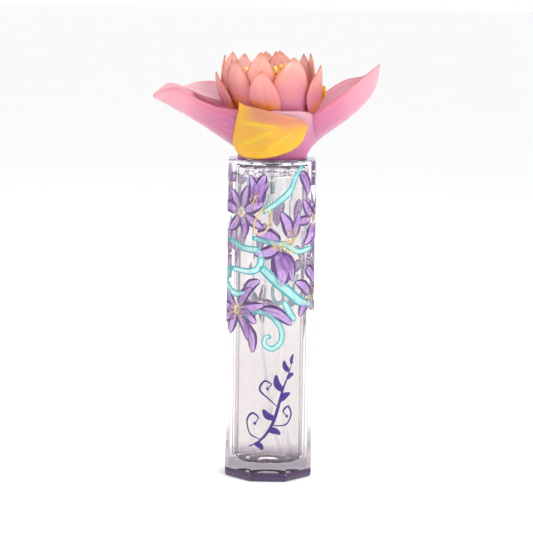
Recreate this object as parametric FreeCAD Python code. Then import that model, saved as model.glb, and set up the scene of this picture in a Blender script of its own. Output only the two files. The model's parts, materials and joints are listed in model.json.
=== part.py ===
"""Octagonal glass perfume bottle with a crimped spray pump and a water-lily cap.

Millimetres, +Z up.  The origin is the centre of the underside and the front facet faces -Y.
Each function makes one piece at its place in the closed bottle.
"""
import FreeCAD
import Part
import math
import os

Vector = FreeCAD.Vector
UP = Vector(0, 0, 1)
ORIGIN = Vector(0, 0, 0)

# ---- bottle -----------------------------------------------------------------------------
FLATS = 42.0             # octagon, across flats
GLASS_TOP = 155.0        # height of the glass's top face
FOOT_HEIGHT = 4.4        # tinted plate glued under the glass
CORNER_ROUND = 1.3       # upright edges
HEEL_ROUND = 1.5         # lower rim of the foot
RIM_ROUND = 0.8          # rim of the top face
CAVITY_RADIUS = 13.0
CAVITY_FLOOR = 7.8       # height of the cavity's floor
CAVITY_FILLET = 2.5
ROOF_WALL = 2.6          # glass above the cavity

# ---- crimp neck, 15 mm finish -----------------------------------------------------------
BEAD_RADIUS = 7.5
BEAD_OVERHANG = 0.9      # of the bead over the neck's waist
BEAD_HEIGHT = 3.4
NECK_HEIGHT = 8.0

# ---- pump -------------------------------------------------------------------------------
GASKET_THICKNESS = 1.0
FLANGE_INSET = 0.5       # flange and gasket, inside the bead's edge
FLANGE_THICKNESS = 1.2
BARREL_WALL = 1.3
BARREL_CLEAR = 0.7       # between the barrel and the neck's bore
CHAMBER_RADIUS = 3.0
CHAMBER_DEPTH = 17.2     # from the flange's top to the spring's seat
POCKET_CLEAR = 0.15      # round the ball
POCKET_DEPTH = 2.1
INLET_RADIUS = 0.6
INLET_LENGTH = 1.2
NOSE_RADIUS = 2.0
SOCKET_LENGTH = 6.0      # how far the dip tube is pushed in
BALL_RADIUS = 1.0
BALL_GAP = 0.03
GUIDE_THICKNESS = 1.0
GUIDE_PLUG = 1.5         # depth of the guide's plug in the chamber
BOSS_RADIUS = 3.2
BOSS_HEIGHT = 2.2
SEAL_THICKNESS = 0.8
STEM_RADIUS = 1.6
STEM_WAIST = 1.2         # stem where it passes through the piston
STEM_BORE = 0.6
STEM_FLANGE = 2.4
STEM_FLANGE_THICKNESS = 0.8
PISTON_HEIGHT = 3.2
LOST_MOTION = 0.45       # stem travel before the piston follows
STROKE = 4.0
RUNNING = 0.05           # radial clearance of sliding pieces
END_GAP = 0.05           # axial gap between pieces that part under load
WIRE_RADIUS = 0.25
COIL_RADIUS = 1.95
COIL_TURNS = 6

# ---- dip tube ---------------------------------------------------------------------------
TUBE_RADIUS = 1.05
TUBE_BORE = 0.65
TUBE_BEND_RADIUS = 60.0
TUBE_DROP = 6.0          # straight run under the pump
TUBE_END_GAP = 0.8       # between the tube's end and the cavity's floor
TUBE_SWAY = [            # (x, y, share of the way down from the pump to the floor)
    (-0.8, -1.2, 0.17),
    (-3.2, -2.8, 0.40),
    (-3.7, -3.0, 0.60),
    (1.6, -2.8, 0.83),
]
TUBE_FOOT = (6.8, -2.6)

# ---- ferrule and collar -----------------------------------------------------------------
FERRULE_THICKNESS = 0.35
FERRULE_GAP = 0.1        # between ferrule and bead
CRIMP_DEPTH = 0.55       # how far the skirt is rolled in under the bead
CRIMP_DROP = 0.7
LINER_THICKNESS = 0.9
SHELL_THICKNESS = 0.4
COLLAR_GAP = 0.4         # above the glass
COLLAR_LID_GAP = 0.2     # above the ferrule
LINER_LIP = 0.65
LINER_MOUTH_CLEAR = 0.7  # round the actuator
SHELL_MOUTH_CLEAR = 0.5

# ---- actuator ---------------------------------------------------------------------------
ACTUATOR_RADIUS = 6.5
ACTUATOR_HEIGHT = 9.0
ACTUATOR_SKIN = 0.4
ACTUATOR_CLEAR = 0.35    # above the ferrule at full stroke
ACTUATOR_RECESS_CLEAR = 1.0  # hollow under the actuator, round the boss
ACTUATOR_RECESS_DEPTH = 2.5
STEM_SOCKET = 2.8
NOZZLE_RADIUS = 1.9
NOZZLE_DEPTH = 3.5
NOZZLE_DROP = 3.0        # nozzle's centre below the actuator's top
ORIFICE_RADIUS = 0.2
PASSAGE_RADIUS = 0.5

# ---- cap --------------------------------------------------------------------------------
CAP_LIFT = 0.35          # gap between the cap's underside and the glass
INSERT_WALL = 1.2
INSERT_RAISE = 0.8       # insert's flange above the cap's underside
INSERT_FLANGE_WIDTH = 1.95
INSERT_FLANGE_THICKNESS = 1.0
CAP_HEADROOM = 5.4       # above the actuator
HUB_FOOT_RADIUS = 17.0
HUB_WAIST_RADIUS = 16.4
HUB_RIM_RADIUS = 21.4
HUB_HEIGHT = 22.65       # from the cap's underside to the petal deck
HUB_ROOF = 2.2           # over the insert
HUB_WALL = 1.6           # of the dome around the insert
STAMEN_COUNT = 14
STAMEN_LENGTH = 10.5
STAMEN_RADIUS = 0.55
ANTHER_RADIUS = 1.1
STAMEN_RING = 5.5
STAMEN_SPREAD = 24.0     # degrees from upright

# ---- petals -----------------------------------------------------------------------------
CROWN_PITCH = 2.7        # between the crown's three bowls
CROWN_BELLY = 3.5
CROWN_BELLY_HEIGHT = 17.0
CROWN_LEAN = -2.1        # the bud leans to -X
CROWN_LEAN_HEIGHT = 15.0
CROWN_THICKNESS = 1.1
CROWN = {                # bowl: [(azimuth, height of the tip over the deck, half angle)]
    "outer": [(189, 18.4, 29), (267, 19.6, 19), (350, 22.1, 31), (72, 28.0, 29), (134, 27.3, 24)],
    "middle": [(175, 26.2, 24), (226, 24.2, 25), (304, 25.9, 29), (10, 27.3, 29), (88, 27.6, 33)],
    "inner": [(261, 28.2, 27), (320, 25.0, 27), (24, 27.1, 29), (74, 28.0, 18), (127, 26.7, 31),
              (190, 24.5, 28)],
}
LEAF_THICKNESS = 1.5
LEAF_ROOT = 0.55         # width at the root over the largest width
CROWN_ROOT = 0.72
TIP_WIDTH = 0.07         # blunt tip, over the largest width
LEAVES = {               # azimuth, spine (radius, height over the cap's underside), half width, cup
    "leaf_right": (0, [(15.0, 3.5), (33.0, 8.5), (45.0, 23.0), (50.7, 45.4)], 13.0, 0.62),
    "leaf_left_front": (189, [(15.0, 4.0), (28.0, 14.0), (44.0, 22.0), (57.8, 28.8)], 13.5, 0.40),
    "leaf_left_back": (152, [(17.0, 15.5), (27.0, 20.0), (38.0, 25.0), (51.0, 32.0)], 12.0, 0.42),
    "leaf_back": (95, [(15.0, 4.0), (28.0, 9.0), (38.0, 20.0), (46.0, 38.0)], 13.0, 0.50),
    "leaf_front": (290, [(17.6, 1.2), (20.0, 8.0), (22.4, 17.0), (25.6, 27.5)], 12.0, 0.28),
}
GOLD_THICKNESS = 1.2
GOLD_FRONT = {           # standoff from the crown's outer bowl at the root and at the tip, then
    "standoff": (2.6, 2.6),  # (azimuth, height over the cap's underside) of the patch's corners
    "root_low": (306.0, 16.5), "root_high": (311.0, 19.8),
    "tip_low": (228.0, 2.6), "tip_high": (236.0, 26.6), "belly": (256.0, -5.4),
}
GOLD_BACK = {
    "standoff": (-0.23, 2.6),
    "root_low": (57.0, 6.0), "root_high": (59.0, 14.0),
    "tip_low": (30.0, 20.0), "tip_high": (32.0, 34.2), "belly": (44.0, 8.0),
}
GRID = 10                # spans along and across a petal
ROW_CROWDING = 1.7       # over 1 draws the spans together towards the tip

# ---- radii that follow ------------------------------------------------------------------
BARREL_RADIUS = CHAMBER_RADIUS + BARREL_WALL
NECK_BORE = BARREL_RADIUS + BARREL_CLEAR
NECK_WAIST = BEAD_RADIUS - BEAD_OVERHANG
FLANGE_RADIUS = BEAD_RADIUS - FLANGE_INSET
POCKET_RADIUS = BALL_RADIUS + POCKET_CLEAR
ACTUATOR_RECESS = BOSS_RADIUS + ACTUATOR_RECESS_CLEAR
LINER_MOUTH = ACTUATOR_RADIUS + LINER_MOUTH_CLEAR
SHELL_MOUTH = ACTUATOR_RADIUS + SHELL_MOUTH_CLEAR

# ---- heights that follow ----------------------------------------------------------------
CAVITY_ROOF = GLASS_TOP - ROOF_WALL
NECK_TOP = GLASS_TOP + NECK_HEIGHT
BEAD_BOTTOM = NECK_TOP - BEAD_HEIGHT
GASKET_TOP = NECK_TOP + GASKET_THICKNESS
FLANGE_TOP = GASKET_TOP + FLANGE_THICKNESS
CHAMBER_FLOOR = FLANGE_TOP - CHAMBER_DEPTH
POCKET_FLOOR = CHAMBER_FLOOR - POCKET_DEPTH
SEAT_BOTTOM = POCKET_FLOOR - (POCKET_RADIUS - INLET_RADIUS)
SOCKET_TOP = SEAT_BOTTOM - INLET_LENGTH
HOUSING_BOTTOM = SOCKET_TOP - SOCKET_LENGTH
GUIDE_TOP = FLANGE_TOP + GUIDE_THICKNESS
BOSS_TOP = GUIDE_TOP + BOSS_HEIGHT
PLUG_BOTTOM = FLANGE_TOP - GUIDE_PLUG
SEAL_BOTTOM = PLUG_BOTTOM - SEAL_THICKNESS
STEM_SHOULDER = SEAL_BOTTOM - END_GAP
PISTON_TOP = STEM_SHOULDER - LOST_MOTION - END_GAP
PISTON_BOTTOM = PISTON_TOP - PISTON_HEIGHT
STEM_BOTTOM = PISTON_BOTTOM - END_GAP - STEM_FLANGE_THICKNESS
BALL_CENTRE = SEAT_BOTTOM - INLET_RADIUS + BALL_RADIUS * math.sqrt(2) + BALL_GAP
FERRULE_INNER = BEAD_RADIUS + FERRULE_GAP
FERRULE_OUTER = FERRULE_INNER + FERRULE_THICKNESS
FERRULE_TOP = GUIDE_TOP + FERRULE_THICKNESS
COLLAR_BORE = FERRULE_OUTER + RUNNING
LINER_OUTER = COLLAR_BORE + LINER_THICKNESS
COLLAR_OUTER = LINER_OUTER + SHELL_THICKNESS
COLLAR_BOTTOM = GLASS_TOP + COLLAR_GAP
LINER_TOP = FERRULE_TOP + COLLAR_LID_GAP + LINER_LIP
COLLAR_TOP = LINER_TOP + SHELL_THICKNESS
ACTUATOR_BOTTOM = FERRULE_TOP + STROKE + ACTUATOR_CLEAR
ACTUATOR_TOP = ACTUATOR_BOTTOM + ACTUATOR_HEIGHT
SOCKET_FLOOR = ACTUATOR_BOTTOM + ACTUATOR_RECESS_DEPTH
STEM_TOP = SOCKET_FLOOR + STEM_SOCKET
NOZZLE_CENTRE = ACTUATOR_TOP - NOZZLE_DROP
CAP_BOTTOM = GLASS_TOP + CAP_LIFT
INSERT_BORE = COLLAR_OUTER + RUNNING
INSERT_OUTER = INSERT_BORE + INSERT_WALL
INSERT_FLANGE = INSERT_OUTER + INSERT_FLANGE_WIDTH
INSERT_BOTTOM = CAP_BOTTOM + INSERT_RAISE
INSERT_CEILING = ACTUATOR_TOP + CAP_HEADROOM
INSERT_TOP = INSERT_CEILING + INSERT_WALL
DECK = CAP_BOTTOM + HUB_HEIGHT
HUB_TOP = INSERT_TOP + HUB_ROOF


# ---- helpers ----------------------------------------------------------------------------
def disc(radius, bottom, top):
    return Part.makeCylinder(radius, top - bottom, Vector(0, 0, bottom))


def ring(inner, outer, bottom, top):
    return disc(outer, bottom, top).cut(disc(inner, bottom, top))


def turned(outline):
    """Solid turned about Z from a closed outline of (radius, height) points."""
    points = [Vector(radius, 0, height) for radius, height in outline]
    face = Part.Face(Part.makePolygon(points + points[:1]))
    return face.revolve(ORIGIN, UP, 360)


def turned_smooth(curve, axis_points):
    """As turned(), with a spline through `curve` closed by straight lines over axis_points."""
    spline = Part.BSplineCurve()
    spline.interpolate([Vector(radius, 0, height) for radius, height in curve])
    corners = [curve[-1]] + axis_points + [curve[0]]
    lines = Part.makePolygon([Vector(radius, 0, height) for radius, height in corners])
    wire = Part.Wire([spline.toShape()] + lines.Edges)
    return Part.Face(wire).revolve(ORIGIN, UP, 360)


def largest(shape):
    """The main solid of a cut, without the slivers on its far side."""
    return max(shape.Solids, key=lambda solid: solid.Volume)


def octagon(flats, bottom, top):
    corner = flats / 2 / math.cos(math.pi / 8)
    angles = [math.pi / 8 + index * math.pi / 4 for index in range(8)]
    points = [Vector(corner * math.cos(a), corner * math.sin(a), bottom) for a in angles]
    face = Part.Face(Part.makePolygon(points + points[:1]))
    prism = face.extrude(Vector(0, 0, top - bottom))
    upright = [edge for edge in prism.Edges if edge.BoundBox.ZLength > (top - bottom) / 2]
    return prism.makeFillet(CORNER_ROUND, upright)


def round_rim(shape, height, radius):
    """Round the outer edges that lie at one height."""
    edges = [e for e in shape.Edges if abs(e.BoundBox.ZMin - height) < 1e-6 and e.BoundBox.ZLength < 1e-6]
    return shape.makeFillet(radius, edges)


def bezier(points, share):
    """Point on a Bezier curve of any order, as a tuple."""
    layer = [tuple(point) for point in points]
    while len(layer) > 1:
        layer = [tuple(a + (b - a) * share for a, b in zip(p, q)) for p, q in zip(layer, layer[1:])]
    return layer[0]


def skin(surface, offset=0.0):
    """Spline face through surface(u, v), u from root to tip and v from side to side, in 0..1.

    With an offset, each point is first moved that far along the surface's normal.
    """
    step = 0.02
    grid = []
    for row in range(GRID + 1):
        u = 1 - (1 - row / GRID) ** ROW_CROWDING
        grid.append([])
        for column in range(GRID + 1):
            v = column / GRID
            along = surface(min(1.0, u + step), v) - surface(max(0.0, u - step), v)
            across = surface(u, min(1.0, v + step)) - surface(u, max(0.0, v - step))
            grid[-1].append(surface(u, v) + along.cross(across).normalize() * offset)
    spline = Part.BSplineSurface()
    spline.interpolate(grid)
    return spline.toShape()


def sheet(surface, thickness):
    """Closed solid between a gently curved surface and its offset copy."""
    faces = [skin(surface), skin(surface, thickness)]
    faces += [Part.makeRuledSurface(*pair) for pair in zip(faces[0].Edges, faces[1].Edges)]
    shell = Part.Shell(faces)
    shell.sewShape()
    solid = Part.Solid(shell)
    if solid.Volume < 0:
        solid.reverse()
    return solid


def deep_sheet(surface, thickness):
    """As sheet(), for a deeply cupped surface, which the kernel offsets itself."""
    return skin(surface).makeOffsetShape(thickness, 1e-3, fill=True).toNurbs()


# ---- bottle -----------------------------------------------------------------------------
def glass_bottle():
    body = round_rim(octagon(FLATS, FOOT_HEIGHT, GLASS_TOP), GLASS_TOP, RIM_ROUND)
    neck = turned([
        (0, GLASS_TOP - ROOF_WALL / 2), (NECK_WAIST, GLASS_TOP - ROOF_WALL / 2),
        (NECK_WAIST, BEAD_BOTTOM - CRIMP_DROP), (BEAD_RADIUS, BEAD_BOTTOM),
        (BEAD_RADIUS, NECK_TOP - CRIMP_DROP), (BEAD_RADIUS - CRIMP_DROP, NECK_TOP), (0, NECK_TOP),
    ])
    cavity = disc(CAVITY_RADIUS, CAVITY_FLOOR, CAVITY_ROOF)
    for height in (CAVITY_FLOOR, CAVITY_ROOF):
        cavity = round_rim(cavity, height, CAVITY_FILLET)
    bore = disc(NECK_BORE, CAVITY_ROOF - ROOF_WALL, NECK_TOP)
    return body.fuse(neck).cut(cavity).cut(bore).removeSplitter()


def tinted_foot():
    return round_rim(octagon(FLATS, 0, FOOT_HEIGHT), 0, HEEL_ROUND)


# ---- pump -------------------------------------------------------------------------------
def neck_gasket():
    return ring(BARREL_RADIUS + RUNNING, FLANGE_RADIUS, NECK_TOP, GASKET_TOP)


def pump_housing():
    return turned([
        (CHAMBER_RADIUS, FLANGE_TOP), (FLANGE_RADIUS, FLANGE_TOP), (FLANGE_RADIUS, GASKET_TOP),
        (BARREL_RADIUS, GASKET_TOP), (BARREL_RADIUS, CHAMBER_FLOOR - 1.0),
        (NOSE_RADIUS + 0.6, POCKET_FLOOR), (NOSE_RADIUS, SOCKET_TOP), (NOSE_RADIUS, HOUSING_BOTTOM),
        (TUBE_RADIUS, HOUSING_BOTTOM), (TUBE_RADIUS, SOCKET_TOP), (INLET_RADIUS, SOCKET_TOP),
        (INLET_RADIUS, SEAT_BOTTOM), (POCKET_RADIUS, POCKET_FLOOR), (POCKET_RADIUS, CHAMBER_FLOOR),
        (CHAMBER_RADIUS, CHAMBER_FLOOR),
    ])


def stem_guide():
    hole = STEM_RADIUS + RUNNING
    return turned([
        (hole, PLUG_BOTTOM), (CHAMBER_RADIUS, PLUG_BOTTOM), (CHAMBER_RADIUS, FLANGE_TOP),
        (FLANGE_RADIUS, FLANGE_TOP), (FLANGE_RADIUS, GUIDE_TOP), (BOSS_RADIUS, GUIDE_TOP),
        (BOSS_RADIUS, BOSS_TOP), (hole, BOSS_TOP),
    ])


def stem_seal():
    return ring(STEM_RADIUS + RUNNING, CHAMBER_RADIUS, SEAL_BOTTOM, PLUG_BOTTOM)


def check_ball():
    return Part.makeSphere(BALL_RADIUS, Vector(0, 0, BALL_CENTRE))


def return_spring():
    """Coil between the chamber's floor and the stem's flange, at rest."""
    bottom = CHAMBER_FLOOR + WIRE_RADIUS
    height = STEM_BOTTOM - WIRE_RADIUS - bottom
    coil = Part.makeHelix(height / COIL_TURNS, height, COIL_RADIUS)
    section = Part.Wire(Part.makeCircle(WIRE_RADIUS, Vector(COIL_RADIUS, 0, 0), Vector(0, 1, 0)))
    spring = Part.Wire(coil.Edges).makePipeShell([section], True, True)
    spring.translate(Vector(0, 0, bottom))
    return spring


def piston():
    skirt = ring(STEM_WAIST + RUNNING, CHAMBER_RADIUS - RUNNING, PISTON_BOTTOM, PISTON_TOP)
    groove = ring(CHAMBER_RADIUS - 0.45, CHAMBER_RADIUS, PISTON_BOTTOM + 1.0, PISTON_TOP - 1.0)
    return skirt.cut(groove)


def stem():
    bore_floor = STEM_BOTTOM + STEM_FLANGE_THICKNESS + 1.0
    return turned([
        (0, STEM_BOTTOM), (STEM_FLANGE, STEM_BOTTOM),
        (STEM_FLANGE, STEM_BOTTOM + STEM_FLANGE_THICKNESS),
        (STEM_WAIST, STEM_BOTTOM + STEM_FLANGE_THICKNESS), (STEM_WAIST, STEM_SHOULDER),
        (STEM_RADIUS, STEM_SHOULDER), (STEM_RADIUS, STEM_TOP), (STEM_BORE, STEM_TOP),
        (STEM_BORE, bore_floor), (0, bore_floor),
    ])


def dip_tube():
    """Tube of straight runs joined by tangent arcs, from the pump's nose to the floor."""
    start = HOUSING_BOTTOM
    end = CAVITY_FLOOR + TUBE_END_GAP
    corners = [Vector(0, 0, SOCKET_TOP), Vector(0, 0, start - TUBE_DROP)]
    corners += [Vector(x, y, start + (end - start) * share) for x, y, share in TUBE_SWAY]
    corners.append(Vector(TUBE_FOOT[0], TUBE_FOOT[1], end))
    edges = []
    here = corners[0]
    for before, corner, after in zip(corners, corners[1:], corners[2:]):
        inward = (corner - before).normalize()
        outward = (after - corner).normalize()
        turn = inward.getAngle(outward)
        setback = min(TUBE_BEND_RADIUS * math.tan(turn / 2),
                      0.45 * min((corner - before).Length, (after - corner).Length))
        arc_start = corner - inward * setback
        arc_end = corner + outward * setback
        middle = (arc_start + arc_end) / 2
        bow = setback * math.tan(turn / 4) * math.cos(turn / 2)
        crest = middle + (corner - middle).normalize() * bow
        edges.append(Part.LineSegment(here, arc_start).toShape())
        edges.append(Part.Arc(arc_start, crest, arc_end).toShape())
        here = arc_end
    edges.append(Part.LineSegment(here, corners[-1]).toShape())
    path = Part.Wire(edges)
    heading = (corners[1] - corners[0]).normalize()
    tubes = []
    for radius in (TUBE_RADIUS, TUBE_BORE):
        section = Part.Wire(Part.makeCircle(radius, corners[0], heading))
        tubes.append(path.makePipeShell([section], True, False))
    return tubes[0].cut(tubes[1])


# ---- ferrule and collar -----------------------------------------------------------------
def ferrule():
    roll = BEAD_BOTTOM - 0.05
    end = roll - CRIMP_DROP
    return turned([
        (BOSS_RADIUS + FERRULE_GAP, GUIDE_TOP), (FERRULE_INNER, GUIDE_TOP), (FERRULE_INNER, roll),
        (FERRULE_INNER - CRIMP_DEPTH, end), (FERRULE_OUTER - CRIMP_DEPTH, end - 0.2),
        (FERRULE_OUTER, roll - 0.2), (FERRULE_OUTER, FERRULE_TOP),
        (BOSS_RADIUS + FERRULE_GAP, FERRULE_TOP),
    ])


def collar_liner():
    lid = LINER_TOP - LINER_LIP
    return turned([
        (COLLAR_BORE, COLLAR_BOTTOM), (LINER_OUTER, COLLAR_BOTTOM), (LINER_OUTER, LINER_TOP),
        (LINER_MOUTH, LINER_TOP), (LINER_MOUTH, lid), (COLLAR_BORE, lid),
    ])


def collar_shell():
    return turned([
        (LINER_OUTER, COLLAR_BOTTOM), (COLLAR_OUTER, COLLAR_BOTTOM), (COLLAR_OUTER, COLLAR_TOP),
        (SHELL_MOUTH, COLLAR_TOP), (SHELL_MOUTH, LINER_TOP), (LINER_OUTER, LINER_TOP),
    ])


# ---- actuator ---------------------------------------------------------------------------
def forward_rod(radius, start, length):
    """Cylinder along -Y at the nozzle's height, from y = -start."""
    return Part.makeCylinder(radius, length, Vector(0, -start, NOZZLE_CENTRE), Vector(0, -1, 0))


def actuator_core():
    core_radius = ACTUATOR_RADIUS - ACTUATOR_SKIN
    core = disc(core_radius, ACTUATOR_BOTTOM, ACTUATOR_TOP - ACTUATOR_SKIN)
    core = core.cut(disc(ACTUATOR_RECESS, ACTUATOR_BOTTOM, SOCKET_FLOOR))
    core = core.cut(disc(STEM_RADIUS, SOCKET_FLOOR, STEM_TOP))
    core = core.cut(disc(PASSAGE_RADIUS, STEM_TOP, NOZZLE_CENTRE))
    core = core.cut(forward_rod(PASSAGE_RADIUS, 0, ACTUATOR_RADIUS))
    return core.cut(forward_rod(NOZZLE_RADIUS, ACTUATOR_RADIUS - NOZZLE_DEPTH, NOZZLE_DEPTH))


def actuator_shell():
    outer = round_rim(disc(ACTUATOR_RADIUS, ACTUATOR_BOTTOM, ACTUATOR_TOP), ACTUATOR_TOP,
                      ACTUATOR_SKIN)
    inner = disc(ACTUATOR_RADIUS - ACTUATOR_SKIN, ACTUATOR_BOTTOM, ACTUATOR_TOP - ACTUATOR_SKIN)
    return outer.cut(inner).cut(forward_rod(NOZZLE_RADIUS, 0, ACTUATOR_RADIUS))


def spray_insert():
    start = ACTUATOR_RADIUS - NOZZLE_DEPTH
    plug = forward_rod(NOZZLE_RADIUS, start, NOZZLE_DEPTH - ACTUATOR_SKIN)
    return plug.cut(forward_rod(ORIFICE_RADIUS, start, NOZZLE_DEPTH))


# ---- cap --------------------------------------------------------------------------------
def cap_insert():
    flange_top = INSERT_BOTTOM + INSERT_FLANGE_THICKNESS
    return turned([
        (INSERT_BORE, INSERT_BOTTOM), (INSERT_FLANGE, INSERT_BOTTOM), (INSERT_FLANGE, flange_top),
        (INSERT_OUTER, flange_top), (INSERT_OUTER, INSERT_TOP), (0, INSERT_TOP),
        (0, INSERT_CEILING), (INSERT_BORE, INSERT_CEILING),
    ])


def hub_envelope():
    """The hub without its bore: a goblet, its flat petal deck and the dome over the insert."""
    wall = [
        (HUB_FOOT_RADIUS, CAP_BOTTOM), (HUB_WAIST_RADIUS, CAP_BOTTOM + 0.22 * HUB_HEIGHT),
        (HUB_WAIST_RADIUS + 2.0, CAP_BOTTOM + 0.6 * HUB_HEIGHT), (HUB_RIM_RADIUS, DECK),
    ]
    goblet = turned_smooth(wall, [(0, DECK), (0, CAP_BOTTOM)])
    dome = turned([
        (0, DECK - HUB_WALL), (INSERT_OUTER + 1.6 * HUB_WALL, DECK - HUB_WALL),
        (INSERT_OUTER + HUB_WALL, INSERT_TOP - HUB_WALL), (INSERT_OUTER - HUB_WALL, HUB_TOP),
        (0, HUB_TOP),
    ])
    return goblet.fuse(dome).removeSplitter()


def flower_hub():
    hub = hub_envelope()
    flange_top = INSERT_BOTTOM + INSERT_FLANGE_THICKNESS
    hub = hub.cut(disc(INSERT_FLANGE, CAP_BOTTOM - 1, flange_top))
    return hub.cut(disc(INSERT_OUTER, CAP_BOTTOM - 1, INSERT_TOP))


def stamen_cluster():
    cluster = disc(STAMEN_RING + STAMEN_RADIUS + 0.6, HUB_TOP, HUB_TOP + 0.8)
    lean = math.radians(STAMEN_SPREAD)
    for index in range(STAMEN_COUNT):
        turn = 2 * math.pi * index / STAMEN_COUNT
        outward = Vector(math.cos(turn), math.sin(turn), 0)
        direction = outward * math.sin(lean) + UP * math.cos(lean)
        foot = outward * STAMEN_RING + UP * (HUB_TOP + 0.4)
        rod = Part.makeCylinder(STAMEN_RADIUS, STAMEN_LENGTH, foot, direction)
        anther = Part.makeSphere(ANTHER_RADIUS, foot + direction * STAMEN_LENGTH)
        cluster = cluster.fuse([rod, anther])
    return cluster


# ---- petals -----------------------------------------------------------------------------
def bowl(inset, height, azimuth):
    """Point on one of the crown's nested bowls, at `inset` inside the outermost."""
    rise = height - DECK
    radius = HUB_RIM_RADIUS - inset
    radius += CROWN_BELLY * math.sin(math.pi / 2 * rise / CROWN_BELLY_HEIGHT)
    lean = CROWN_LEAN * math.sin(math.pi / 2 * max(0.0, min(1.0, rise / CROWN_LEAN_HEIGHT)))
    outward = Vector(math.cos(azimuth), math.sin(azimuth), 0)
    return outward * radius + Vector(lean, 0, height)


def blade(share, root):
    """Width of a pointed petal along its length, 1 at its widest."""
    swell = root + (1 - root) * math.sin(math.pi / 2 * min(1.0, share / 0.5))
    return TIP_WIDTH + (1 - TIP_WIDTH) * swell * (1 - share ** 2.6) ** 0.8


def crown_petal(layer, azimuth, tip_rise, half_angle):
    centre = math.radians(azimuth)
    half = math.radians(half_angle)

    def surface(u, v):
        turn = centre + half * blade(u, CROWN_ROOT) * (2 * v - 1)
        return bowl(CROWN_PITCH * layer, DECK + tip_rise * u, turn)

    return sheet(surface, CROWN_THICKNESS)


def leaf(azimuth, spine, half_width, cup):
    """Large outer petal: a cupped blade along a curved spine, cut to the hub's wall."""
    turn = math.radians(azimuth)
    outward = Vector(math.cos(turn), math.sin(turn), 0)
    across = Vector(-math.sin(turn), math.cos(turn), 0)

    def surface(u, v):
        radius, rise = bezier(spine, u)
        ahead = bezier(spine, min(1.0, u + 0.01))
        behind = bezier(spine, max(0.0, u - 0.01))
        along = (outward * (ahead[0] - behind[0]) + UP * (ahead[1] - behind[1])).normalize()
        inward = across.cross(along).normalize() * -1
        side = 2 * v - 1
        width = half_width * blade(u, LEAF_ROOT)
        point = outward * radius + UP * (CAP_BOTTOM + rise)
        return point + across * (width * side) + inward * (cup * width * side * side)

    return deep_sheet(surface, LEAF_THICKNESS).cut(hub_envelope())


def gold_petal(corners):
    """Yellow petal: a curved patch that stands off the crown's outer bowl, glued at its root."""
    low = [corners["root_low"], corners["belly"], corners["tip_low"]]
    high = [corners["root_high"], corners["tip_high"]]
    root_standoff, tip_standoff = corners["standoff"]

    def surface(u, v):
        lower = bezier(low, u)
        upper = bezier(high, u)
        azimuth, rise = (a + (b - a) * v for a, b in zip(lower, upper))
        standoff = root_standoff + (tip_standoff - root_standoff) * u
        return bowl(-standoff, CAP_BOTTOM + rise, math.radians(azimuth))

    return sheet(surface, -GOLD_THICKNESS)


# ---- the whole bottle -------------------------------------------------------------------
def pieces():
    single = [
        glass_bottle, tinted_foot, neck_gasket, pump_housing, stem_guide, stem_seal, check_ball,
        return_spring, piston, stem, dip_tube, ferrule, collar_liner, collar_shell,
        actuator_core, actuator_shell, spray_insert, cap_insert, flower_hub, stamen_cluster,
    ]
    made = {function.__name__: function() for function in single}
    for layer, (bowl_name, petals) in enumerate(CROWN.items()):
        for number, (azimuth, tip_rise, half_angle) in enumerate(petals, 1):
            made[f"crown_{bowl_name}_{number}"] = crown_petal(layer, azimuth, tip_rise, half_angle)
    for name, (azimuth, spine, half_width, cup) in LEAVES.items():
        made[name] = leaf(azimuth, spine, half_width, cup)
    made["gold_front"] = largest(gold_petal(GOLD_FRONT).cut(made["leaf_front"]))
    made["gold_back"] = gold_petal(GOLD_BACK)
    return made


def main():
    os.makedirs("parts", exist_ok=True)
    for name, shape in pieces().items():
        if not shape.isValid():
            print("invalid:", name)
        shape.exportStep(f"parts/{name}.step")
        print(f"{name:22s} solids {len(shape.Solids)}  volume {shape.Volume:10.2f}")


main()
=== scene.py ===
"""Looks of an octagonal glass perfume bottle with a water-lily cap, built around its CAD frame."""
import json
import math
import random
from contextlib import contextmanager

import bmesh
import bpy
from bpy.props import FloatProperty, FloatVectorProperty, IntProperty, PointerProperty
from mathutils import Matrix, Vector


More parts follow.
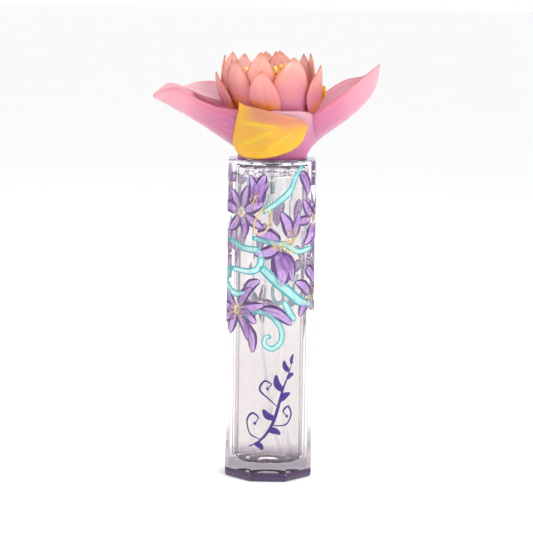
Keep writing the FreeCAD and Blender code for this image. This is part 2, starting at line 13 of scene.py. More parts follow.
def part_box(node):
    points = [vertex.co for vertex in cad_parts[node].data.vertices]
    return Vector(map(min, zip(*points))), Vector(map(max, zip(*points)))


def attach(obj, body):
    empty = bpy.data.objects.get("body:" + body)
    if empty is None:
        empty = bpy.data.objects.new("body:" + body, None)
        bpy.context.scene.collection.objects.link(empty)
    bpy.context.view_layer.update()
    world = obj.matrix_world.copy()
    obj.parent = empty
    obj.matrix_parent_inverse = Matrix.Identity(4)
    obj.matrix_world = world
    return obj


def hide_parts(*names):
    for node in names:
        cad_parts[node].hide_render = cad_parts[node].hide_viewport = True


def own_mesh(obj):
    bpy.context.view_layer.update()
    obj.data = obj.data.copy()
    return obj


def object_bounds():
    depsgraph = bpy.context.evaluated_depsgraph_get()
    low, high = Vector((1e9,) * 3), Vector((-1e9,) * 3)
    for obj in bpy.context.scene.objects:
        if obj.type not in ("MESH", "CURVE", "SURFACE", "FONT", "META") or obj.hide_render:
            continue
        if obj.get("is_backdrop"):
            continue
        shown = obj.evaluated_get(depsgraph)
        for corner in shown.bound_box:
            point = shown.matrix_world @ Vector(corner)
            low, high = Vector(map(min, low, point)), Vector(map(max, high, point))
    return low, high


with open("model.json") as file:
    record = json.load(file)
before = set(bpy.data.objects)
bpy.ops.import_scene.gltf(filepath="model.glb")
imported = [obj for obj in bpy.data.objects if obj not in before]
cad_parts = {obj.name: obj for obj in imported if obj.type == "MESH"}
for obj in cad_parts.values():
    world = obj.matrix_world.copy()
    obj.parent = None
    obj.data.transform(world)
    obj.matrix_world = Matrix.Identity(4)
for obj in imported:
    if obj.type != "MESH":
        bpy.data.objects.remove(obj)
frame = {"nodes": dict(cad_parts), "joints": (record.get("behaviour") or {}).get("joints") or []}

CAD_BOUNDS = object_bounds()
NODES = frame["nodes"]
MM = 0.001
NECK_BORE = 5.0 * MM
NECK_WAIST = 6.6 * MM
BEAD_RADIUS = 7.5 * MM
BEAD_HEIGHT = 3.4 * MM
NEAR_AXIS = 0.0005 * MM     # innermost ring of a turned solid
ENAMEL_TOP = 151.5          # millimetres up the glass

bl_info = {
    "name": "Lily perfume bottle",
    "version": (1, 0, 0),
    "blender": (4, 5, 0),
    "location": "3D View > Sidebar > Bottle",
    "description": "Glass, enamel, petals and pump finishes of a lily-capped perfume bottle",
    "category": "Add Mesh",
}


# ---- the frame's measures ---------------------------------------------------------------
def node_top(name):
    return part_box(name)[1].z


def node_bottom(name):
    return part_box(name)[0].z


def node_radius(name):
    low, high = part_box(name)
    return (high.x - low.x) / 2


FLATS = 2 * node_radius("tinted_foot")
FOOT_TOP = node_top("tinted_foot")
NECK_TOP = node_top("glass_bottle")
CAP_BOTTOM = node_bottom("flower_hub")
GLASS_TOP = CAP_BOTTOM - 0.35 * MM
DECK = node_bottom("crown_outer_1")
HUB_RIM = node_radius("flower_hub")
CROWN_NODES = sorted(name for name in NODES if name.startswith("crown_"))


# ---- settings ---------------------------------------------------------------------------
def length(name, description, default):
    return FloatProperty(name=name, description=description, default=default, unit="LENGTH", precision=5)


def colour(name, description, default):
    return FloatVectorProperty(name=name, description=description, default=default, size=3,
                               subtype="COLOR", min=0.0, max=1.0)


class GlassSettings(bpy.types.PropertyGroup):
    corner: length("Corner", "Rounding of the upright edges", 1.3 * MM)
    rim: length("Rim", "Rounding of the top face's rim", 0.8 * MM)
    heel: length("Heel", "Rounding under the foot", 1.5 * MM)
    cavity: length("Cavity", "Radius of the cavity", 13.0 * MM)
    floor: length("Floor", "Height of the cavity's floor", 7.8 * MM)
    roof: length("Roof", "Glass above the cavity", 2.6 * MM)
    fillet: length("Fillet", "Rounding inside the cavity", 2.5 * MM)
    fill: length("Fill", "Height of the liquid's surface", 147.0 * MM)
    clear: colour("Clear", "Glass at the shoulder", (0.97, 0.965, 0.975))
    # Grey given to the glass low down, fading to clear towards the shoulder.
    lower_grey: colour("Lower grey", "Glass near the foot", (0.77, 0.745, 0.75))
    base: colour("Base", "Thick glass under the cavity", (0.36, 0.30, 0.37))
    violet: colour("Violet", "Tint of the foot", (0.085, 0.018, 0.145))
    perfume: colour("Perfume", "Tint of the liquid", (0.905, 0.885, 0.88))


class EnamelSettings(bpy.types.PropertyGroup):
    relief: length("Relief", "Height of the fired enamel", 0.22 * MM)
    sunk: length("Sunk", "Depth of its underside in the glass", 0.03 * MM)
    violet: colour("Violet", "Petal fill", (0.20, 0.05, 0.34))
    lilac: colour("Lilac", "Pale petal fill", (0.56, 0.34, 0.66))
    outline: colour("Outline", "Petal outline", (0.040, 0.005, 0.085))
    teal: colour("Teal", "Stem fill", (0.12, 0.50, 0.48))
    teal_edge: colour("Teal edge", "Stem outline", (0.01, 0.24, 0.27))
    gold: colour("Gold", "Stamens and pods", (0.60, 0.42, 0.10))
    ink: colour("Ink", "Printed sprig", (0.022, 0.006, 0.11))


class FlowerSettings(bpy.types.PropertyGroup):
    thickness: length("Thickness", "Petal thickness at the middle", 1.15 * MM)
    edge: length("Edge", "Petal thickness at the rim", 0.35 * MM)
    rows: IntProperty(name="Rows", description="Spans along a petal", default=44, min=8, max=96)
    columns: IntProperty(name="Columns", description="Spans across a petal", default=22, min=6, max=64)
    root: colour("Root", "Crown petals at the root", (0.66, 0.17, 0.36))
    coral: colour("Coral", "Crown petals", (0.80, 0.32, 0.33))
    peach: colour("Peach", "Crown petals towards the tip", (0.88, 0.47, 0.42))
    rim: colour("Rim", "Orange rims of the crown", (0.78, 0.22, 0.08))
    glow: colour("Glow", "Orange at the foot of the crown", (0.90, 0.30, 0.02))
    rose: colour("Rose", "Outer petals", (0.72, 0.29, 0.43))
    magenta: colour("Magenta", "Outer petals at the root", (0.56, 0.13, 0.34))
    blush: colour("Blush", "Outer petals at the tip", (0.80, 0.47, 0.53))
    gold: colour("Gold", "Yellow petals", (0.98, 0.57, 0.012))
    amber: colour("Amber", "Yellow petals at the upper middle", (0.76, 0.31, 0.17))
    lemon: colour("Lemon", "Creases of the yellow petals", (1.0, 0.76, 0.0))


class PumpSettings(bpy.types.PropertyGroup):
    wire: length("Wire", "Radius of the spring's wire", 0.25 * MM)
    coil: length("Coil", "Radius of the spring's coil", 1.95 * MM)
    turns: IntProperty(name="Turns", description="Turns of the spring", default=6, min=2, max=20)
    ribs: IntProperty(name="Ribs", description="Grip ribs in the cap", default=24, min=3, max=60)
    stamens: IntProperty(name="Stamens", description="Stamens in each ring", default=17, min=3, max=60)


class StageSettings(bpy.types.PropertyGroup):
    distance: length("Distance", "Camera from the bottle's axis", 0.8794)
    height: length("Height", "Camera above the floor", 0.2295)
    lens: FloatProperty(name="Lens", description="Focal length", default=123.46, unit="CAMERA")
    pitch: FloatProperty(name="Pitch", description="Camera looks down by", default=math.radians(8.239),
                         subtype="ANGLE")
    roll: FloatProperty(name="Roll", description="Camera leans by", default=math.radians(0.794),
                        subtype="ANGLE")
    yaw: FloatProperty(name="Yaw", description="Camera turns by", default=math.radians(-0.134),
                       subtype="ANGLE")


SETTINGS = {"glass": GlassSettings, "enamel": EnamelSettings, "flower": FlowerSettings,
            "pump": PumpSettings, "stage": StageSettings}


def settings(name):
    return getattr(bpy.context.scene, "lily_" + name)


# ---- shader maths -----------------------------------------------------------------------
class Value:
    """A shader socket that takes part in Python expressions."""

    def __init__(self, shader, socket):
        self.shader = shader
        self.socket = socket

    def math(self, operation, *others):
        inputs = dict(enumerate((self, *others)))
        return self.shader.node("ShaderNodeMath", {"operation": operation}, inputs).out()

    def __add__(self, other):
        return self.math("ADD", other)

    def __sub__(self, other):
        return self.math("SUBTRACT", other)

    def __rsub__(self, other):
        return self.shader.node("ShaderNodeMath", {"operation": "SUBTRACT"}, {0: other, 1: self}).out()

    def __mul__(self, other):
        return self.math("MULTIPLY", other)

    __radd__ = __add__
    __rmul__ = __mul__

    def clamp(self):
        return self.shader.node("ShaderNodeClamp", {}, {"Value": self}).out()

    def ramp(self, start, end):
        """0 below start, 1 above end, smooth between."""
        sockets = {"Value": self, "From Min": start, "From Max": end}
        node = self.shader.node("ShaderNodeMapRange", {"interpolation_type": "SMOOTHSTEP"}, sockets)
        return node.out("Result")


class Placed:
    """A node that has been added to a shader."""

    def __init__(self, shader, node):
        self.shader = shader
        self.node = node

    def out(self, name=0):
        return Value(self.shader, self.node.outputs[name])


class Shader:
    """Builds one material's node tree around a Principled BSDF."""

    def __init__(self, name):
        self.material = bpy.data.materials.new(name)
        self.material.use_nodes = True
        self.tree = self.material.node_tree
        self.surface = self.tree.nodes["Principled BSDF"]

    def node(self, kind, options, sockets):
        node = self.tree.nodes.new(kind)
        for key, value in options.items():
            setattr(node, key, value)
        for key, value in sockets.items():
            self.feed(node.inputs[key], value)
        return Placed(self, node)

    def feed(self, socket, value):
        if isinstance(value, Value):
            self.tree.links.new(value.socket, socket)
        elif socket.type == "RGBA" and len(value) == 3:
            socket.default_value = (*value, 1.0)
        else:
            socket.default_value = value

    def set(self, **sockets):
        for key, value in sockets.items():
            self.feed(self.surface.inputs[key.replace("_", " ")], value)
        return self

    def mix(self, factor, first, second):
        node = self.node("ShaderNodeMix", {"data_type": "RGBA"}, {0: factor, 6: first, 7: second})
        return node.out(2)

    def attributes(self, *names):
        return [self.node("ShaderNodeAttribute", {"attribute_name": name}, {}).out("Fac") for name in names]

    def place(self):
        return self.node("ShaderNodeTexCoord", {}, {}).out("Object")

    def axis(self, name):
        return self.node("ShaderNodeSeparateXYZ", {}, {"Vector": self.place()}).out(name)

    def stretched(self, scale):
        return self.node("ShaderNodeMapping", {}, {"Vector": self.place(), "Scale": scale}).out()

    def noise(self, scale, detail=3.0, vector=None):
        sockets = {"Vector": vector or self.place(), "Scale": scale, "Detail": detail}
        return self.node("ShaderNodeTexNoise", {}, sockets).out(0)

    def bump(self, height, strength, distance):
        sockets = {"Height": height, "Strength": strength, "Distance": distance}
        self.set(Normal=self.node("ShaderNodeBump", {}, sockets).out())
        return self


MATERIALS = {}


def material(function):
    """Makes a finish once, however many pieces ask for it."""
    def finish():
        if function.__name__ not in MATERIALS:
            MATERIALS[function.__name__] = function(Shader(function.__name__)).material
        return MATERIALS[function.__name__]
    return finish


# ---- finishes: glass and liquid ---------------------------------------------------------
@material
def flint_glass(shader):
    look = settings("glass")
    height = shader.axis("Z")
    # The glass's colour runs from dark under the cavity through grey low down to clear at the shoulder.
    base = shader.mix(height.ramp(0.0075, 0.0130), look.base, look.lower_grey)
    shader.set(Base_Color=shader.mix(height.ramp(0.045, 0.155), base, look.clear))
    shader.set(Transmission_Weight=1.0, IOR=1.52)
    shader.set(Roughness=shader.noise(220.0) * 0.012)
    return shader.bump(shader.noise(55.0, 1.0), 0.035, 0.0006)


@material
def violet_glass(shader):
    look = settings("glass")
    streak = shader.noise(90.0, 2.0)
    deep = tuple(0.55 * part for part in look.violet)
    shader.set(Base_Color=shader.mix(streak, deep, look.violet))
    shader.set(Transmission_Weight=0.55, IOR=1.50, Coat_Weight=0.6)
    return shader.set(Roughness=shader.noise(300.0) * 0.05 + 0.03)


@material
def perfume(shader):
    look = settings("glass")
    shader.set(Base_Color=look.perfume, Transmission_Weight=1.0, IOR=1.36, Roughness=0.0)
    return shader


# ---- finishes: enamel and ink -----------------------------------------------------------
def enamel(shader, fill, pale, outline, edge_start):
    """Fired enamel: pale and thin in the middle, deep towards a drawn outline."""
    side, run, inside = shader.attributes("side", "run", "inside")
    cloud = shader.noise(420.0, 4.0)
    body = shader.mix((run * 0.75 + cloud * 0.5 - 0.2).clamp(), fill, pale)
    line = side.ramp(edge_start, edge_start + 0.10)
    shader.set(Base_Color=shader.mix(line, body, outline))
    shader.set(Alpha=(line * 0.5 + 0.32 + run * 0.18 + cloud * 0.2).clamp())
    shader.set(Roughness=cloud * 0.15 + 0.12, Coat_Weight=0.5, Specular_IOR_Level=0.6)
    # Painted light: the enamel's underside, seen through the glass, glows in its own colour to stand in for
    # light that does not reach it there; the top face glows only faintly.
    lit = shader.mix(inside, tuple(0.08 * part for part in fill), body)
    shader.set(Emission_Color=lit, Emission_Strength=0.6)
    return shader.bump(shader.noise(900.0, 2.0), 0.15, 0.0001)


@material
def violet_enamel(shader):
    look = settings("enamel")
    return enamel(shader, look.violet, look.lilac, look.outline, 0.48)


@material
def teal_enamel(shader):
    look = settings("enamel")
    pale = tuple(0.45 + 0.55 * part for part in look.teal)
    return enamel(shader, look.teal, pale, look.teal_edge, 0.52)


@material
def gold_enamel(shader):
    look = settings("enamel")
    pale = tuple(0.35 + 0.65 * part for part in look.gold)
    dark = tuple(0.45 * part for part in look.gold)
    return enamel(shader, look.gold, pale, dark, 0.72).set(Metallic=0.35)


@material
def printed_ink(shader):
    look = settings("enamel")
    grain = shader.noise(700.0, 2.0)
    lighter = tuple(min(1.0, 1.7 * part) for part in look.ink)
    shader.set(Base_Color=shader.mix(grain, look.ink, lighter))
    return shader.set(Roughness=grain * 0.2 + 0.25)


# ---- finishes: petals -------------------------------------------------------------------
def resin(shader, body, frost):
    """Frosted translucent acrylic with fine lengthwise veins."""
    side, across = shader.attributes("side", "across")
    grain = shader.noise(160.0, 4.0)
    veins = ((across + grain * 0.22) * 55.0).math("SINE") * 0.5 + 0.5
    streak = (veins.ramp(0.3, 1.0) * grain * 0.20).clamp()
    shader.set(Base_Color=shader.mix(streak, body, (0.95, 0.72, 0.70)), Roughness=grain * 0.16 + frost)
    shader.set(Subsurface_Weight=0.25, Subsurface_Radius=(1.0, 0.55, 0.5), Subsurface_Scale=0.004)
    shader.set(Transmission_Weight=0.55, IOR=1.25, Coat_Weight=0.35, Coat_Roughness=0.18)
    height = veins * (1.0 - side) * 0.6 + grain * 0.4
    return shader.bump(height, 0.18, 0.00025)


@material
def coral_resin(shader):
    look = settings("flower")
    run, side, inside = shader.attributes("run", "side", "inside")
    cloud = shader.noise(95.0, 3.0)
    lower = shader.mix((run * 1.5 + cloud * 0.3 - 0.1).clamp(), look.root, look.coral)
    body = shader.mix((run + cloud * 0.4 - 0.2).ramp(0.35, 0.95), lower, look.peach)
    pale = shader.mix(inside * 0.5, body, (0.93, 0.63, 0.60))
    rim = side.ramp(0.72, 0.98) * run.ramp(0.3, 0.85)
    glow = (1.0 - run.ramp(0.20, 0.48)) * cloud.ramp(0.42, 0.56)
    warm = shader.mix(glow * 0.9, pale, look.glow)
    return resin(shader, shader.mix(rim * 0.85, warm, look.rim), 0.30)


@material
def rose_resin(shader):
    look = settings("flower")
    run, side, inside = shader.attributes("run", "side", "inside")
    cloud = shader.noise(70.0, 3.0)
    lower = shader.mix((run * 1.9 + cloud * 0.3 - 0.15).clamp(), look.magenta, look.rose)
    body = shader.mix((run + cloud * 0.35 - 0.2).ramp(0.3, 1.0), lower, look.blush)
    pale = shader.mix(inside * 0.55, body, (0.93, 0.70, 0.73))
    rim = side.ramp(0.80, 1.0) * 0.55
    return resin(shader, shader.mix(rim, pale, (0.78, 0.22, 0.27)), 0.28)


@material
def amber_resin(shader):
    look = settings("flower")
    run, side, across, crease = shader.attributes("run", "side", "across", "crease")
    cloud = shader.noise(80.0, 3.0)
    upper = (side * 0.8 + cloud * 0.3) * (1.0 - run.ramp(0.55, 0.95))
    upper = upper * across.ramp(-0.7, 0.7)
    body = shader.mix((upper * 1.5).clamp(), look.gold, look.amber)
    return resin(shader, shader.mix(crease, body, look.lemon), 0.24)


@material
def stamen_resin(shader):
    height = shader.axis("Z")
    tip = height.ramp(DECK + 0.010, DECK + 0.020)
    shader.set(Base_Color=shader.mix(tip, (0.93, 0.36, 0.05), (0.97, 0.62, 0.08)))
    return shader.set(Roughness=shader.noise(500.0) * 0.2 + 0.3, Subsurface_Weight=0.2)


# ---- finishes: pump ---------------------------------------------------------------------
def moulded(shader, base, warm, roughness):
    grain = shader.noise(600.0, 3.0)
    shader.set(Base_Color=shader.mix(shader.noise(60.0, 2.0), base, warm))
    shader.set(Roughness=grain * 0.12 + roughness, Subsurface_Weight=0.15)
    return shader.bump(grain, 0.08, 0.0001)


@material
def white_plastic(shader):
    return moulded(shader, (0.86, 0.86, 0.85), (0.80, 0.80, 0.78), 0.28)


@material
def natural_plastic(shader):
    moulded(shader, (0.90, 0.91, 0.93), (0.84, 0.86, 0.89), 0.22)
    return shader.set(Transmission_Weight=0.75, IOR=1.51)


@material
def clear_plastic(shader):
    """Plastic seen through perfume, which all but hides it."""
    shader.set(Base_Color=(0.93, 0.94, 0.95), Transmission_Weight=1.0, IOR=1.07)
    return shader.set(Roughness=shader.noise(400.0) * 0.04)


@material
def seal_rubber(shader):
    return moulded(shader, (0.03, 0.03, 0.034), (0.05, 0.05, 0.055), 0.55)


def drawn_metal(shader, base, bright):
    """Metal turned about the upright axis, with fine rings."""
    rings = shader.noise(1.0, 3.0, shader.stretched((60.0, 60.0, 5200.0)))
    shader.set(Base_Color=shader.mix(rings, base, bright), Metallic=1.0)
    shader.set(Roughness=rings * 0.18 + 0.16)
    return shader.bump(rings, 0.1, 0.00005)


@material
def aluminium(shader):
    return drawn_metal(shader, (0.66, 0.67, 0.69), (0.84, 0.85, 0.86))


@material
def gold_aluminium(shader):
    return drawn_metal(shader, (0.74, 0.50, 0.20), (0.90, 0.68, 0.34))


@material
def spring_steel(shader):
    return drawn_metal(shader, (0.45, 0.46, 0.48), (0.62, 0.63, 0.65))


@material
def pale_floor(shader):
    shader.set(Base_Color=shader.mix(shader.noise(3.0, 2.0), (0.94, 0.94, 0.94), (0.96, 0.96, 0.96)))
    return shader.set(Roughness=0.6)


# ---- mesh helpers -----------------------------------------------------------------------
MARKS = ("run", "side", "across", "inside")     # attributes that the finishes read


class MeshMaker:
    """Gathers points, faces and point attributes, then makes one object."""

    def __init__(self, *names):
        self.points = []
        self.faces = []
        self.values = {name: [] for name in names}

    def point(self, place, **values):
        self.points.append(place)
        for name, store in self.values.items():
            store.append(values.get(name, 0.0))
        return len(self.points) - 1

    def grid(self, rows):
        for first, second in zip(rows, rows[1:]):
            for column in range(len(first) - 1):
                self.faces.append((first[column], first[column + 1], second[column + 1], second[column]))

    def sheet(self, front, back, rows, columns, values):
        """Closed solid between front(u, v) and back(u, v), for u in 0..1 and v in -1..1."""
        sides = []
        for inside, surface in ((0.0, front), (1.0, back)):
            laid = []
            for row in range(rows + 1):
                u = row / rows
                laid.append([self.point(surface(u, v), inside=inside, **values(u, v))
                             for v in (2 * column / columns - 1 for column in range(columns + 1))])
            self.grid(laid)
            sides.append(laid)
        rims = []
        for laid in sides:
            rims.append(laid[0][:-1] + [row[-1] for row in laid[:-1]] + laid[-1][:0:-1]
                        + [row[0] for row in laid[:0:-1]])
        loop = len(rims[0])
        for index in range(loop):
            after = (index + 1) % loop
            self.faces.append((rims[0][index], rims[0][after], rims[1][after], rims[1][index]))

    def finish(self, name, finish):
        mesh = bpy.data.meshes.new(name)
        mesh.from_pydata(self.points, [], self.faces)
        for key, store in self.values.items():
            mesh.attributes.new(key, "FLOAT", "POINT").data.foreach_set("value", store)
        piece = add_object(name, mesh, finish)
        outward(mesh)
        mesh.shade_smooth()
        return piece


def put_in_scene(name, data):
    holder = bpy.data.objects.new(name, data)
    bpy.context.scene.collection.objects.link(holder)
    return holder


def add_object(name, mesh, finish):
    piece = put_in_scene(name, mesh)
    mesh.materials.clear()
    mesh.materials.append(finish)
    return piece


@contextmanager
def edited(mesh):
    work = bmesh.new()
    work.from_mesh(mesh)
    yield work
    work.to_mesh(mesh)
    work.free()


def outward(mesh):
    """Faces of a closed mesh point out."""
    with edited(mesh) as work:
        bmesh.ops.recalc_face_normals(work, faces=work.faces)


def place_on(piece, body, slot, *nodes):
    """Attaches a finished piece to its body and hides the CAD nodes it stands in for."""
    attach(piece, body)
    if nodes:
        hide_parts(*nodes)
    return piece


def catmull(points, share_along):
    """Point on the smooth curve through the points, for a share of their number."""
    last = len(points) - 1
    at = min(share_along * last, last - 1e-9)
    index = int(at)
    t = at - index
    pick = [points[max(0, min(last, index + step))] for step in (-1, 0, 1, 2)]
    result = []
    for a, b, c, d in zip(*pick):
        result.append(0.5 * (2 * b + (c - a) * t + (2 * a - 5 * b + 4 * c - d) * t * t
                             + (3 * b - a - 3 * c + d) * t ** 3))
    return result


def lofted(name, rings, finish, closed=True):
    """Solid through rings of equal numbers of points, listed from the axis out and back."""
    maker = MeshMaker()
    laid = []
    for ring in rings:
        laid.append([maker.point(place) for place in ring])
    for first, second in zip(laid, laid[1:]):
        for index in range(len(first)):
            after = (index + 1) % len(first)
            maker.faces.append((first[index], first[after], second[after], second[index]))
    if closed:
        maker.faces += [tuple(laid[0][::-1]), tuple(laid[-1])]
    return maker.finish(name, finish)


def circle(radius, height, count=128):
    turns = (2 * math.pi * index / count for index in range(count))
    return [(radius * math.cos(turn), radius * math.sin(turn), height) for turn in turns]


def arc(centre, radius, start, end, steps=7):
    """Points of an arc in (radius, height), angles in degrees."""
    angles = [math.radians(start + (end - start) * index / steps) for index in range(steps + 1)]
    return [(centre[0] + radius * math.cos(a), centre[1] + radius * math.sin(a)) for a in angles]


# ---- octagon ----------------------------------------------------------------------------
def octagon_walk(distance, apothem, corner):
    """Place and outward direction on a rounded octagon, walked from the middle of the front
    facet towards +X."""
    half = apothem * math.tan(math.pi / 8) - corner * math.tan(math.pi / 8)
    bend = corner * math.pi / 4
    side = 2 * half + bend
    facet = math.floor((distance + side / 2) / side)
    rest = distance - facet * side
    turn = -math.pi / 2 + facet * math.pi / 4
    if abs(rest) <= half:
        out = Vector((math.cos(turn), math.sin(turn), 0))
        along = Vector((-out.y, out.x, 0))
        return out * apothem + along * rest, out
    sign = math.copysign(1, rest)
    angle = turn + sign * (abs(rest) - half) / corner
    out = Vector((math.cos(angle), math.sin(angle), 0))
    middle = turn + sign * math.pi / 8
    centre = Vector((math.cos(middle), math.sin(middle), 0)) * ((apothem - corner) / math.cos(math.pi / 8))
    return centre + out * corner, out


def octagon_ring(apothem, corner, height):
    """One ring of the octagon, with its points bunched at the corners."""
    arc_steps = 6
    half = (apothem - corner) * math.tan(math.pi / 8)
    bend = corner * math.pi / 4
    ring = []
    for facet in range(8):
        start = facet * (2 * half + bend)
        walks = [start - half, start, start + half]
        walks += [start + half + bend * step / arc_steps for step in range(1, arc_steps)]
        for walk in walks:
            place, _ = octagon_walk(walk, apothem, corner)
            ring.append((place.x, place.y, height))
    return ring


def rounded_end(apothem, corner, height, radius, sign):
    """Rings of a rounded rim; sign is 1 for the top and -1 for the underside."""
    steps = 6
    rings = []
    for index in range(steps + 1):
        angle = math.pi / 2 * index / steps
        inset = radius * (1 - math.cos(angle))
        rise = radius * (1 - math.sin(angle))
        rings.append(octagon_ring(apothem - inset, max(corner - inset, 0.2 * corner), height - sign * rise))
    return rings


# ---- glass, foot and liquid -------------------------------------------------------------
def glass_body():
    look = settings("glass")
    apothem = FLATS / 2
    outside = [octagon_ring(apothem, look.corner, FOOT_TOP)]
    outside += rounded_end(apothem, look.corner, GLASS_TOP, look.rim, 1)
    body = lofted("glass_body", outside, flint_glass())
    roof = GLASS_TOP - look.roof
    fillet = look.fillet
    wall = [(NEAR_AXIS, look.floor), (look.cavity - fillet, look.floor)]
    wall += arc((look.cavity - fillet, look.floor + fillet), fillet, -90, 0)
    wall += arc((look.cavity - fillet, roof - fillet), fillet, 0, 90)
    throat, lip, bead, shoulder = 0.6 * MM, 0.4 * MM, 0.7 * MM, 1.4 * MM    # roundings of the neck
    wall += arc((NECK_BORE + throat, roof + throat), throat, 270, 180, 4)
    cavity = [circle(radius, height) for radius, height in wall]
    neck = [(NECK_BORE, NECK_TOP - lip)]
    neck += arc((NECK_BORE + lip, NECK_TOP - lip), lip, 180, 90, 4)
    neck += arc((BEAD_RADIUS - bead, NECK_TOP - bead), bead, 90, 0, 4)
    neck += [(BEAD_RADIUS, NECK_TOP - BEAD_HEIGHT), (NECK_WAIST, NECK_TOP - BEAD_HEIGHT - bead)]
    neck += arc((NECK_WAIST + shoulder, GLASS_TOP + shoulder), shoulder, 180, 270, 5)
    inner = lofted("glass_cavity", cavity + [circle(r, h) for r, h in neck], flint_glass(), closed=False)
    return join_glass(body, inner)


def join_glass(body, inner):
    """Opens the outside's top face, bridges it to the neck's foot and closes the cavity's floor."""
    with edited(body.data) as work:
        work.faces.remove(max(work.faces, key=lambda face: face.calc_center_median().z))
        work.from_mesh(inner.data)
        borders = [edge for edge in work.edges if edge.is_boundary]
        foot = [edge for edge in borders if edge.verts[0].co.z > GLASS_TOP - 0.01 * MM]
        floor = [edge for edge in borders if edge not in foot]
        bmesh.ops.bridge_loops(work, edges=foot)
        bmesh.ops.contextual_create(work, geom=floor)
        bmesh.ops.recalc_face_normals(work, faces=work.faces)
    bpy.data.objects.remove(inner)
    smooth_by_angle(body, 40)
    return body


def smooth_by_angle(piece, degrees):
    piece.data.shade_smooth()
    with edited(piece.data) as work:
        for edge in work.edges:
            if len(edge.link_faces) == 2 and edge.calc_face_angle() > math.radians(degrees):
                edge.smooth = False


def foot_plate():
    look = settings("glass")
    apothem = FLATS / 2
    rings = rounded_end(apothem, look.corner, 0.0, look.heel, -1)[::-1]
    rings.append(octagon_ring(apothem, look.corner, FOOT_TOP - 0.05 * MM))
    return lofted("foot_plate", rings, violet_glass())


def liquid():
    """The perfume overlaps the glass by a hair, so light meets one surface there."""
    look = settings("glass")
    lap = 0.05 * MM
    radius = look.cavity + lap
    floor = look.floor - lap
    profile = [(NEAR_AXIS, floor), (radius - look.fillet, floor)]
    profile += arc((radius - look.fillet, floor + look.fillet), look.fillet, -90, 0)
    profile += [(radius, look.fill - 0.5 * MM), (radius, look.fill + 0.5 * MM)]
    profile += [(radius - 0.5 * MM, look.fill + 0.12 * MM), (radius - 1.4 * MM, look.fill)]
    profile += [(NEAR_AXIS, look.fill)]
    return lofted("perfume_liquid", [circle(r, h) for r, h in profile], perfume())


# ---- enamel -----------------------------------------------------------------------------
# Places on the glass are (walk, height) in millimetres: walk goes round the octagon from the
# middle of the front facet, to the right.
BLOSSOMS = [    # walk, height, petal length, angles of the first and last petal, petals
    (-16.5, 130.5, 15.5, 20, 330, 7), (10.5, 116.0, 20.0, 72, 112, 2), (25.0, 127.0, 13.5, 70, 300, 5),
    (6.5, 115.5, 17.5, 160, 196, 2), (-19.0, 83.5, 16.5, -62, 48, 4), (24.5, 89.0, 15.0, 60, 310, 4),
    (-8.5, 134.0, 16.0, 58, 100, 2), (45.0, 140.0, 13.0, 0, 300, 6), (58.0, 104.0, 14.0, 40, 330, 5),
    (-46.0, 112.0, 14.5, 0, 315, 7), (-62.0, 82.0, 12.5, 30, 330, 5), (-57.0, 142.0, 12.0, 20, 320, 5),
    (-19.0, 83.0, 13.0, 120, 250, 4),
    (43.0, 78.0, 12.0, 10, 330, 6),
]
BUDS = [        # root walk and height, tip walk and height, width
    (3.0, 112.0, 5.0, 95.5, 8.5), (5.5, 111.0, 11.0, 98.0, 6.0), (-4.0, 84.5, 11.0, 77.0, 5.5),
    (-13.0, 78.0, -8.0, 63.5, 5.0), (15.5, 150.0, 21.0, 139.0, 5.0), (-6.0, 134.0, -3.0, 149.0, 6.0),
    (-13.0, 92.0, -5.0, 98.5, 5.0), (33.0, 108.0, 38.0, 96.0, 6.5), (-34.0, 95.0, -38.0, 80.0, 6.0),
    (62.0, 134.0, 66.0, 121.0, 6.0), (-66.0, 122.0, -62.0, 108.0, 6.0), (20.0, 104.0, 26.0, 96.0, 5.0),
]
STEMS = [       # width, then the route
    (2.7, [(17.0, 153.0), (12.5, 148.0), (8.5, 141.0), (2.0, 135.0), (-4.0, 131.0)]),
    (4.4, [(-5.0, 105.0), (1.0, 99.5), (9.0, 93.0), (17.0, 87.5), (24.0, 86.0)]),
    (3.1, [(-25.0, 117.0), (-15.0, 113.5), (-6.0, 112.5), (-5.0, 106.0), (-10.0, 102.5), (-24.0, 103.0)]),
    (3.0, [(-24.0, 103.0), (-26.5, 96.0), (-21.0, 91.0), (-13.0, 92.0)]),
    (2.4, [(-13.0, 80.0), (-7.0, 83.5), (0.0, 81.5), (5.0, 76.0), (5.5, 69.5), (1.5, 65.5),
           (-2.5, 67.5), (-2.0, 71.0), (0.5, 71.3)]),
    (3.2, [(13.5, 79.0), (9.5, 83.0), (6.5, 88.5)]),
    (2.6, [(-9.0, 119.0), (-1.0, 117.0), (7.0, 115.5), (15.0, 112.0), (24.0, 113.5)]),
    (2.2, [(30.0, 148.0), (36.0, 141.0), (38.0, 128.0), (47.0, 120.0), (55.0, 118.0)]),
    (2.4, [(28.0, 96.0), (36.0, 90.0), (45.0, 92.0), (52.0, 88.0), (53.0, 81.0), (49.0, 79.0)]),
    (2.4, [(-30.0, 130.0), (-37.0, 126.0), (-40.0, 117.0)]),
    (2.2, [(-52.0, 104.0), (-56.0, 97.0), (-55.0, 90.0), (-62.0, 84.0)]),
    (2.0, [(64.0, 97.0), (68.0, 90.0), (66.0, 83.0), (61.0, 84.0), (61.5, 88.0)]),
    (2.0, [(-66.0, 148.0), (-68.0, 137.0), (-64.0, 128.0)]),
]
PODS = [        # walk, height, half width, half height, lean
    (-4.0, 126.5, 3.6, 6.2, -24), (8.5, 114.5, 1.9, 3.6, 60), (37.0, 118.0, 2.6, 4.4, 20),
    (-42.0, 97.0, 2.6, 4.6, -15),
]
